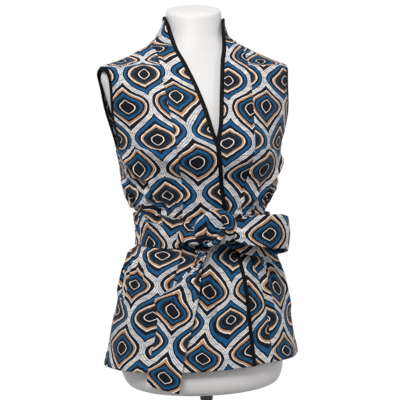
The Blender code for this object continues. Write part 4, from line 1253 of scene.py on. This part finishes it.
def belt_knot(name, mat):
    ob = make_object(name + "_hood", *hood(), mat)
    wall(ob, 0.0022, 0.0)
    bpy.context.view_layer.update()
    dg = bpy.context.evaluated_depsgraph_get()
    solid = bpy.data.meshes.new_from_object(ob.evaluated_get(dg))
    pts = np.array([v.co[:] for v in solid.vertices])
    faces = np.array([list(p.vertices) for p in solid.polygons])
    uv = np.zeros((len(pts), 2))
    layer = solid.uv_layers["print_m"].uv
    for loop in solid.loops:
        uv[loop.vertex_index] = layer[loop.index].vector
    bpy.data.objects.remove(ob)
    parts = [
        (pts, faces, uv),
        strand(NECK_STRAND, (0.25, -1, 0.1), (0.020, 0.047), 3, 0.0012),
        strand(ROLLED_EDGE, (0.1, -1, -0.3), (0.000, 0.000), 1, 0.0004, 50, 20),
        strand(LEFT_STRAND, (-0.2, -1, 0.0), (0.030, 0.075), 3, 0.0012),
    ]
    ob = make_object(name, *joined(parts), mat)
    fix_normals(ob)
    return ob


# --------------------------------------------------------- form and stand
def dress_form(name, mat):
    cols = 220
    z0 = np.array([r[0] for r in FORM_RINGS])
    steps = []
    for lo, hi in zip(z0, z0[1:]):
        steps.append(heights(lo, hi, 0.0018 if hi < 0.24 or lo > 0.92 else 0.006)[:-1])
    z = np.concatenate(steps + [[z0[-1]]])
    half, front, back, side_y, tilt = (column(FORM_RINGS, i)(z) for i in (1, 2, 3, 4, 5))
    neck = (z > 0.853) & (z < 0.916)
    for ring in (half, front, back):
        for _ in range(9):
            ring[neck] = smoothed(ring, False, 1)[neck]
    t = np.linspace(0, 2 * np.pi, cols, endpoint=False)
    s, c = np.sin(t), np.cos(t)
    isfront = (c >= 0)[None] & np.ones(len(z), bool)[:, None]
    x = half[:, None] * s[None]
    y = -np.where(isfront, front[:, None], back[:, None]) * c[None]
    push = swell(x, np.repeat(z[:, None], cols, 1), isfront) * np.minimum(1, np.abs(c) * 1.6)[None]
    y = y + np.where(isfront, -push, push)
    pts = np.stack(
        [
            MIDDLE(z)[:, None] + x,
            side_y[:, None] + y,
            z[:, None] + tilt[:, None] * CAP_SLOPE * (0.966 * y + 0.245 * x) + slope(np.degrees(t)[None], z[:, None]),
        ],
        -1,
    )
    idx = np.arange(len(z) * cols).reshape(-1, cols)
    idx = np.concatenate([idx, idx[:, :1]], 1)
    faces = [tuple(f) for f in quads(idx)]
    points = pts.reshape(-1, 3)
    count = len(points)
    # a crowned cap, and a flat underside
    extra, rings = [], [(0.75, 0.0008), (0.45, 0.0013), (0.2, 0.0015)]
    last = pts[-1]
    middle = last.mean(0)
    prev = idx[-1]
    for share, up in rings:
        ring = middle + (last - middle) * share
        ring[:, 2] += up
        start = count + len(extra) * cols
        extra.append(ring)
        now = np.concatenate([np.arange(start, start + cols), [start]])
        faces += [tuple(f) for f in quads(np.stack([prev, now]))]
        prev = now
    points = np.concatenate([points] + extra + [[middle + [0, 0, 0.0015]], [pts[0].mean(0)]])
    top, low = len(points) - 2, len(points) - 1
    for i in range(cols):
        faces.append((top, prev[i], prev[i + 1]))
        faces.append((low, idx[0, i + 1], idx[0, i]))
    ob = make_object(name, points, faces, None, mat)
    fix_normals(ob)
    return ob


def lathe(name, profile, mat, cols=128):
    """profile is (radius, height) from the bottom axis to the top axis."""
    t = np.linspace(0, 2 * np.pi, cols, endpoint=False)
    rings = [(r, z) for r, z in profile if r > 1e-6]
    pts = np.array([[r * math.cos(a), r * math.sin(a), z] for r, z in rings for a in t])
    idx = np.arange(len(rings) * cols).reshape(-1, cols)
    idx = np.concatenate([idx, idx[:, :1]], 1)
    faces = [tuple(f) for f in quads(idx)]
    low, top = len(pts), len(pts) + 1
    pts = np.concatenate([pts, [[0, 0, profile[0][1]], [0, 0, profile[-1][1]]]])
    for i in range(cols):
        faces.append((low, idx[0, i + 1], idx[0, i]))
        faces.append((top, idx[-1, i], idx[-1, i + 1]))
    ob = make_object(name, pts, faces, None, mat)
    fix_normals(ob)
    return ob


# -------------------------------------------------------------- materials
def lin(r, g, b):
    f = lambda c: c / 12.92 if c <= 0.04045 else ((c + 0.055) / 1.055) ** 2.4
    return (f(r / 255), f(g / 255), f(b / 255), 1.0)


class Tree:
    """Short names for building a shader."""

    def __init__(self, name):
        self.mat = bpy.data.materials.new(name)
        self.mat.use_nodes = True
        self.nt = self.mat.node_tree
        self.bsdf = self.nt.nodes["Principled BSDF"]

    def node(self, kind, **props):
        n = self.nt.nodes.new(kind)
        for k, v in props.items():
            setattr(n, k, v)
        return n

    def link(self, a, b):
        self.nt.links.new(a, b)

    def put(self, socket, value):
        if isinstance(value, (int, float)):
            socket.default_value = value
        elif isinstance(value, tuple):
            socket.default_value = value
        else:
            self.link(value, socket)

    def math(self, op, a, b=None, c=None):
        n = self.node("ShaderNodeMath", operation=op)
        self.put(n.inputs[0], a)
        if b is not None:
            self.put(n.inputs[1], b)
        if c is not None:
            self.put(n.inputs[2], c)
        return n.outputs[0]

    def mix(self, share, a, b):
        n = self.node("ShaderNodeMix", data_type="RGBA")
        self.put(n.inputs[0], share)
        self.put(n.inputs[6], a)
        self.put(n.inputs[7], b)
        return n.outputs[2]

    def ramp(self, fac, stops, interpolation="CONSTANT"):
        n = self.node("ShaderNodeValToRGB")
        n.color_ramp.interpolation = interpolation
        els = n.color_ramp.elements
        while len(els) > 1:
            els.remove(els[-1])
        els[0].position, els[0].color = stops[0][0], stops[0][1]
        for pos, colour in stops[1:]:
            e = els.new(pos)
            e.color = colour
        self.put(n.inputs[0], fac)
        return n.outputs[0]

    def noise(self, vector, scale, detail=2.0, rough=0.5):
        n = self.node("ShaderNodeTexNoise", noise_dimensions="2D")
        self.put(n.inputs["Vector"], vector)
        n.inputs["Scale"].default_value = scale
        n.inputs["Detail"].default_value = detail
        n.inputs["Roughness"].default_value = rough
        return n


NAVY = lin(16, 17, 28)
BLACK_NAVY = lin(9, 9, 15)
BLUE = lin(20, 82, 126)
TEAL = lin(12, 52, 72)
TAN = lin(186, 138, 98)
CREAM = lin(240, 228, 218)
GREY = lin(247, 247, 247)
LINE = lin(48, 46, 56)

OGEE_A = 47.0   # half the width of a cell, in mm
OGEE_B = 60.0   # half its height
STEP = 52.0     # band distances are shares of this


def bands(rows):
    """rows is (where the band starts, in mm from the cell's outline, colour)."""
    return [(d / STEP, c) for d, c in rows]


PALE = 3.9      # half the width of the pale ribbon between the cells
BANDS_ONE = bands([
    (0.0, GREY), (1.1, LINE), (1.75, GREY), (PALE, LINE), (4.5, NAVY), (6.6, BLUE),
    (11.6, BLACK_NAVY), (12.4, NAVY), (17.0, CREAM), (19.0, TAN), (22.2, BLACK_NAVY), (22.9, NAVY),
    (25.0, TEAL), (28.4, BLACK_NAVY), (29.2, NAVY), (36.4, CREAM), (38.0, NAVY),
])
BANDS_TWO = bands([
    (0.0, GREY), (1.1, LINE), (1.75, GREY), (PALE, LINE), (4.5, NAVY), (10.4, CREAM),
    (12.2, BLACK_NAVY), (12.8, TAN), (16.0, BLACK_NAVY), (16.8, NAVY), (20.4, BLUE), (25.0, BLACK_NAVY),
    (25.8, TEAL), (28.6, NAVY), (34.0, CREAM), (35.6, BLACK_NAVY), (40.0, NAVY),
])


def printed_cloth(name, weave=1.0):
    """A half-drop lattice of nested pointed ovals, on a fine weave."""
    t = Tree(name)
    uv = t.node("ShaderNodeUVMap", uv_map="print_m").outputs[0]
    sep = t.node("ShaderNodeSeparateXYZ")
    wob = t.noise(uv, 11.0, 1.0)
    wob_fine = t.noise(uv, 90.0, 1.0)
    t.link(uv, sep.inputs[0])
    sw = t.node("ShaderNodeSeparateColor")
    t.link(wob.outputs["Color"], sw.inputs[0])
    sf = t.node("ShaderNodeSeparateColor")
    t.link(wob_fine.outputs["Color"], sf.inputs[0])

    def millimetres(axis, channel, fine):
        x = t.math("MULTIPLY", sep.outputs[axis], 1000.0)
        x = t.math("ADD", x, t.math("MULTIPLY_ADD", sw.outputs[channel], 26.0, -13.0))
        return t.math("ADD", x, t.math("MULTIPLY_ADD", sf.outputs[fine], 2.0, -1.0))

    x = millimetres(0, 0, 0)
    y = millimetres(1, 1, 1)
    px = t.math("PINGPONG", x, OGEE_A)
    py = t.math("PINGPONG", y, OGEE_B)
    ang = t.math("MULTIPLY", py, math.pi / OGEE_B)
    cos = t.math("COSINE", ang)
    sin = t.math("SINE", ang)
    w = t.math("MULTIPLY_ADD", cos, OGEE_A / 2, OGEE_A / 2)
    slope = t.math("MULTIPLY", sin, OGEE_A * math.pi / (2 * OGEE_B))
    steep = t.math("SQRT", t.math("MULTIPLY_ADD", slope, slope, 1.0))
    signed = t.math("DIVIDE", t.math("SUBTRACT", w, px), steep)
    dist = t.math("DIVIDE", t.math("ABSOLUTE", signed), STEP)
    one = t.ramp(dist, BANDS_ONE)
    two = t.ramp(dist, BANDS_TWO)
    which = t.math("GREATER_THAN", signed, 0.0)
    colour = t.mix(which, two, one)
    # fine dark strokes across the pale ribbons
    pale = t.math("LESS_THAN", dist, PALE / STEP)
    stroke = t.math("PINGPONG", t.math("ADD", y, t.math("MULTIPLY", sf.outputs[2], 6.0)), 5.6)
    thin = t.math("LESS_THAN", stroke, 0.34)
    colour = t.mix(t.math("MULTIPLY", t.math("MULTIPLY", thin, pale), 0.85), colour, LINE)
    # pale ribbons turn from cream to a cool grey along their way
    cool = t.noise(uv, 34.0, 1.0)
    tint = t.ramp(cool.outputs["Fac"], [(0.0, lin(240, 230, 221)), (0.44, lin(231, 226, 222)), (0.58, lin(207, 209, 215)), (1.0, lin(198, 202, 211))], "LINEAR")
    deep = t.node("ShaderNodeMix", data_type="RGBA", blend_type="MULTIPLY")
    t.put(deep.inputs[0], t.math("MULTIPLY", pale, 1.0))
    t.put(deep.inputs[6], colour)
    t.put(deep.inputs[7], tint)
    colour = deep.outputs[2]
    # uneven ink, and the threads
    ink = t.noise(uv, 70.0, 3.0, 0.6)
    shade = t.math("MULTIPLY_ADD", ink.outputs["Fac"], 0.44, 0.80)
    thread_u = t.math("SINE", t.math("MULTIPLY", sep.outputs[0], 2 * math.pi / 0.0011))
    thread_v = t.math("SINE", t.math("MULTIPLY", sep.outputs[1], 2 * math.pi / 0.0011))
    cross = t.math("MULTIPLY", thread_u, thread_v)
    shade = t.math("MULTIPLY_ADD", cross, 0.08 * weave, shade)
    hsv = t.node("ShaderNodeHueSaturation")
    t.link(colour, hsv.inputs["Color"])
    t.link(shade, hsv.inputs["Value"])
    t.link(hsv.outputs[0], t.bsdf.inputs["Base Color"])
    # relief of the weave
    soft = t.noise(uv, 420.0, 2.0)
    lift = t.math("MULTIPLY_ADD", cross, 0.35, t.math("MULTIPLY", soft.outputs["Fac"], 0.5))
    bump = t.node("ShaderNodeBump")
    bump.inputs["Strength"].default_value = 0.35
    bump.inputs["Distance"].default_value = 0.0004
    t.link(lift, bump.inputs["Height"])
    t.link(bump.outputs[0], t.bsdf.inputs["Normal"])
    rough = t.math("MULTIPLY_ADD", soft.outputs["Fac"], 0.16, 0.62)
    t.link(rough, t.bsdf.inputs["Roughness"])
    t.bsdf.inputs["Specular IOR Level"].default_value = 0.18
    t.bsdf.inputs["Sheen Weight"].default_value = 0.02
    t.bsdf.inputs["Sheen Roughness"].default_value = 0.45
    return t.mat


def black_binding(name):
    t = Tree(name)
    uv = t.node("ShaderNodeUVMap", uv_map="print_m").outputs[0]
    sep = t.node("ShaderNodeSeparateXYZ")
    t.link(uv, sep.inputs[0])
    n = t.noise(uv, 300.0, 3.0)
    colour = t.ramp(n.outputs["Fac"], [(0.0, lin(3, 3, 4)), (1.0, lin(11, 11, 13))], "LINEAR")
    t.link(colour, t.bsdf.inputs["Base Color"])
    a = t.math("SINE", t.math("MULTIPLY", sep.outputs[0], 2 * math.pi / 0.0009))
    b = t.math("SINE", t.math("MULTIPLY", sep.outputs[1], 2 * math.pi / 0.0009))
    lift = t.math("MULTIPLY_ADD", t.math("MULTIPLY", a, b), 0.4, n.outputs["Fac"])
    bump = t.node("ShaderNodeBump")
    bump.inputs["Strength"].default_value = 0.4
    bump.inputs["Distance"].default_value = 0.0004
    t.link(lift, bump.inputs["Height"])
    t.link(bump.outputs[0], t.bsdf.inputs["Normal"])
    t.bsdf.inputs["Roughness"].default_value = 0.60
    t.bsdf.inputs["Specular IOR Level"].default_value = 0.12
    t.bsdf.inputs["Sheen Weight"].default_value = 0.0
    return t.mat


def form_white(name):
    t = Tree(name)
    tc = t.node("ShaderNodeTexCoord").outputs["Object"]
    n = t.node("ShaderNodeTexNoise")
    n.inputs["Scale"].default_value = 9.0
    n.inputs["Detail"].default_value = 3.0
    t.link(tc, n.inputs["Vector"])
    colour = t.ramp(n.outputs["Fac"], [(0.0, lin(211, 209, 208)), (1.0, lin(218, 216, 215))], "LINEAR")
    t.link(colour, t.bsdf.inputs["Base Color"])
    fine = t.node("ShaderNodeTexNoise")
    fine.inputs["Scale"].default_value = 240.0
    t.link(tc, fine.inputs["Vector"])
    rough = t.math("MULTIPLY_ADD", n.outputs["Fac"], 0.10, 0.46)
    t.link(rough, t.bsdf.inputs["Roughness"])
    bump = t.node("ShaderNodeBump")
    bump.inputs["Strength"].default_value = 0.05
    bump.inputs["Distance"].default_value = 0.0005
    t.link(fine.outputs["Fac"], bump.inputs["Height"])
    t.link(bump.outputs[0], t.bsdf.inputs["Normal"])
    t.bsdf.inputs["Specular IOR Level"].default_value = 0.4
    return t.mat


def stand_black(name):
    t = Tree(name)
    tc = t.node("ShaderNodeTexCoord").outputs["Object"]
    n = t.node("ShaderNodeTexNoise")
    n.inputs["Scale"].default_value = 60.0
    n.inputs["Detail"].default_value = 4.0
    t.link(tc, n.inputs["Vector"])
    colour = t.ramp(n.outputs["Fac"], [(0.0, lin(14, 14, 15)), (1.0, lin(24, 24, 26))], "LINEAR")
    t.link(colour, t.bsdf.inputs["Base Color"])
    rough = t.math("MULTIPLY_ADD", n.outputs["Fac"], 0.14, 0.18)
    t.link(rough, t.bsdf.inputs["Roughness"])
    t.bsdf.inputs["Specular IOR Level"].default_value = 0.6
    return t.mat


CLOTH = printed_cloth("printed_cloth")
BINDING = black_binding("black_binding")
WHITE = form_white("form_white")
BLACK = stand_black("stand_black")

# ----------------------------------------------------------------- pieces
PIECES = {
    "vis_back": (back_panel("vis_back", CLOTH, (0.021, 0.006)), ["back_panel"], "printed_cloth"),
    "vis_right_side": (side_panel("vis_right_side", -1, CLOTH, (0.030, 0.020)), ["front_right_side"], "printed_cloth"),
    "vis_left_side": (side_panel("vis_left_side", 1, CLOTH, (0.012, 0.041)), ["front_left_side"], "printed_cloth"),
    "vis_right_center": (center_panel("vis_right_center", -1, CLOTH, (0.052, 0.033)), ["front_right_center"], "printed_cloth"),
    "vis_left_center": (center_panel("vis_left_center", 1, CLOTH, (0.018, 0.062)), ["front_left_center"], "printed_cloth"),
    "vis_edge_right": (front_binding("vis_edge_right", -1, BINDING), ["binding_front_right"], "black_binding"),
    "vis_edge_left": (front_binding("vis_edge_left", 1, BINDING), ["binding_front_left"], "black_binding"),
    "vis_arm_right": (armhole_binding("vis_arm_right", -1, BINDING), ["binding_armhole_right"], "black_binding"),
    "vis_arm_left": (armhole_binding("vis_arm_left", 1, BINDING), ["binding_armhole_left"], "black_binding"),
    "vis_belt": (belt_band("vis_belt", CLOTH), ["belt_band"], "printed_cloth"),
    "vis_tail": (belt_tail("vis_tail", CLOTH), ["belt_tail"], "printed_cloth"),
    "vis_loop": (belt_loop("vis_loop", CLOTH), ["belt_loop"], "printed_cloth"),
    "vis_knot": (belt_knot("vis_knot", CLOTH), ["belt_knot"], "printed_cloth"),
    "vis_form": (dress_form("vis_form", WHITE), ["form_torso"], "form_white"),
    "vis_base": (
        lathe("vis_base", [(0, 0), (0.1485, 0), (0.1495, 0.0004), (0.15, 0.0014), (0.15, 0.0058),
                           (0.1494, 0.0071), (0.148, 0.0079), (0.1455, 0.0080), (0, 0.0080)], BLACK, 200),
        ["stand_base"], "stand_black"),
    "vis_pole": (
        lathe("vis_pole", [(0, 0.0083), (0.0108, 0.0083), (0.011, 0.0086), (0.011, 0.1882),
                           (0.0108, 0.1885), (0, 0.1885)], BLACK, 96),
        ["stand_pole"], "stand_black"),
    "vis_socket": (
        lathe("vis_socket", [(0, 0.1888), (0.0115, 0.1888), (0.0122, 0.1892), (0.0125, 0.1900), (0.0125, 0.2102),
                             (0.0130, 0.2112), (0.0140, 0.2118), (0.0180, 0.2122), (0.0188, 0.2127),
                             (0.019, 0.2135), (0.019, 0.2156), (0.0187, 0.2163), (0.0178, 0.2168), (0, 0.2168)],
              BLACK, 96),
        ["stand_socket"], "stand_black"),
}
for key, (ob, nodes, slot) in PIECES.items():
    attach(ob, "root")
    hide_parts(*nodes)

# ------------------------------------------------------ light and camera
scene = bpy.context.scene
world = bpy.data.worlds.new("soft_white")
scene.world = world
world.use_nodes = True
wt = world.node_tree
bg = wt.nodes["Background"]
bg.inputs[1].default_value = 1.0
# a white studio wall all round, dimmer overhead and underneath
wtc = wt.nodes.new("ShaderNodeTexCoord")
wsep = wt.nodes.new("ShaderNodeSeparateXYZ")
wt.links.new(wtc.outputs["Generated"], wsep.inputs[0])


def world_ramp(value, stops):
    m = wt.nodes.new("ShaderNodeMapRange")
    wt.links.new(value, m.inputs["Value"])
    m.inputs["From Min"].default_value = -1.0
    m.inputs["From Max"].default_value = 1.0
    r = wt.nodes.new("ShaderNodeValToRGB")
    wt.links.new(m.outputs[0], r.inputs[0])
    els = r.color_ramp.elements
    for i, (pos, v) in enumerate(stops):
        el = els[i] if i < 2 else els.new((pos + 1) / 2)
        el.position = (pos + 1) / 2
        el.color = (v, v, v, 1)
    return r.outputs[0]


level = world_ramp(wsep.outputs[2], [(-1.0, 0.06), (-0.60, 0.10), (-0.30, 1.0), (0.24, 1.0), (0.52, 0.42), (1.0, 0.36)])
around = world_ramp(wsep.outputs[1], [(-1.0, 0.30), (-0.35, 0.38), (0.30, 1.01), (1.0, 1.01)])
wmix = wt.nodes.new("ShaderNodeMix")
wmix.data_type = "RGBA"
wmix.blend_type = "MULTIPLY"
wmix.inputs[0].default_value = 1.0
wt.links.new(level, wmix.inputs[6])
wt.links.new(around, wmix.inputs[7])
wt.links.new(wmix.outputs[2], bg.inputs[0])


def area_light(name, at, target, size, watts, colour=(1, 1, 1)):
    data = bpy.data.lights.new(name, "AREA")
    data.shape = "RECTANGLE"
    data.size, data.size_y = size
    data.energy = watts
    data.color = colour
    ob = bpy.data.objects.new(name, data)
    scene.collection.objects.link(ob)
    ob.location = at
    ob.rotation_euler = (Vector(target) - Vector(at)).to_track_quat("-Z", "Y").to_euler()
    return ob


area_light("key", (-0.9, -1.9, 2.2), (0, 0, 0.62), (0.8, 0.7), 62)
area_light("fill", (1.6, -1.7, 1.3), (0, 0, 0.6), (1.0, 1.0), 12)
area_light("top", (0.1, 0.5, 2.4), (0, 0, 0.8), (1.0, 0.8), 6)


def floor():
    """A pale floor that fades into the white of the studio."""
    t = Tree("floor_white")
    t.bsdf.inputs["Base Color"].default_value = (0.70, 0.70, 0.70, 1)
    t.bsdf.inputs["Roughness"].default_value = 0.9
    t.bsdf.inputs["Specular IOR Level"].default_value = 0.0
    tc = t.node("ShaderNodeTexCoord").outputs["Object"]
    ln = t.node("ShaderNodeVectorMath", operation="LENGTH")
    t.link(tc, ln.inputs[0])
    fade = t.node("ShaderNodeMapRange", interpolation_type="SMOOTHSTEP")
    t.link(ln.outputs["Value"], fade.inputs["Value"])
    fade.inputs["From Min"].default_value = 0.24
    fade.inputs["From Max"].default_value = 0.62
    fade.inputs["To Min"].default_value = 1.0
    fade.inputs["To Max"].default_value = 0.0
    t.link(fade.outputs[0], t.bsdf.inputs["Alpha"])
    me = bpy.data.meshes.new("floor")
    ring = [(0.65 * math.cos(k * math.pi / 48), 0.65 * math.sin(k * math.pi / 48), -0.0005) for k in range(96)]
    me.from_pydata(ring, [], [tuple(range(96))])
    ob = bpy.data.objects.new("floor", me)
    scene.collection.objects.link(ob)
    me.materials.append(t.mat)
    return ob


floor()

AZ, EL, DIST, WIDTH = -15.0, 3.0, 1.7, 0.76
a, e = math.radians(AZ), math.radians(EL)
target = Vector((-0.0125 * math.cos(a), -0.0125 * math.sin(a), 0.572))
away = Vector((math.sin(a) * math.cos(e), -math.cos(a) * math.cos(e), math.sin(e)))
cam_data = bpy.data.cameras.new("camera")
cam = bpy.data.objects.new("camera", cam_data)
scene.collection.objects.link(cam)
cam.location = target + away * DIST
cam.rotation_euler = (-away).to_track_quat("-Z", "Y").to_euler()
cam_data.sensor_width = 36
cam_data.lens = 36 * DIST / WIDTH
cam_data.clip_end = 50
scene.camera = cam
scene.view_settings.view_transform = "Standard"
scene.view_settings.look = "None"
scene.view_settings.exposure = 0.0
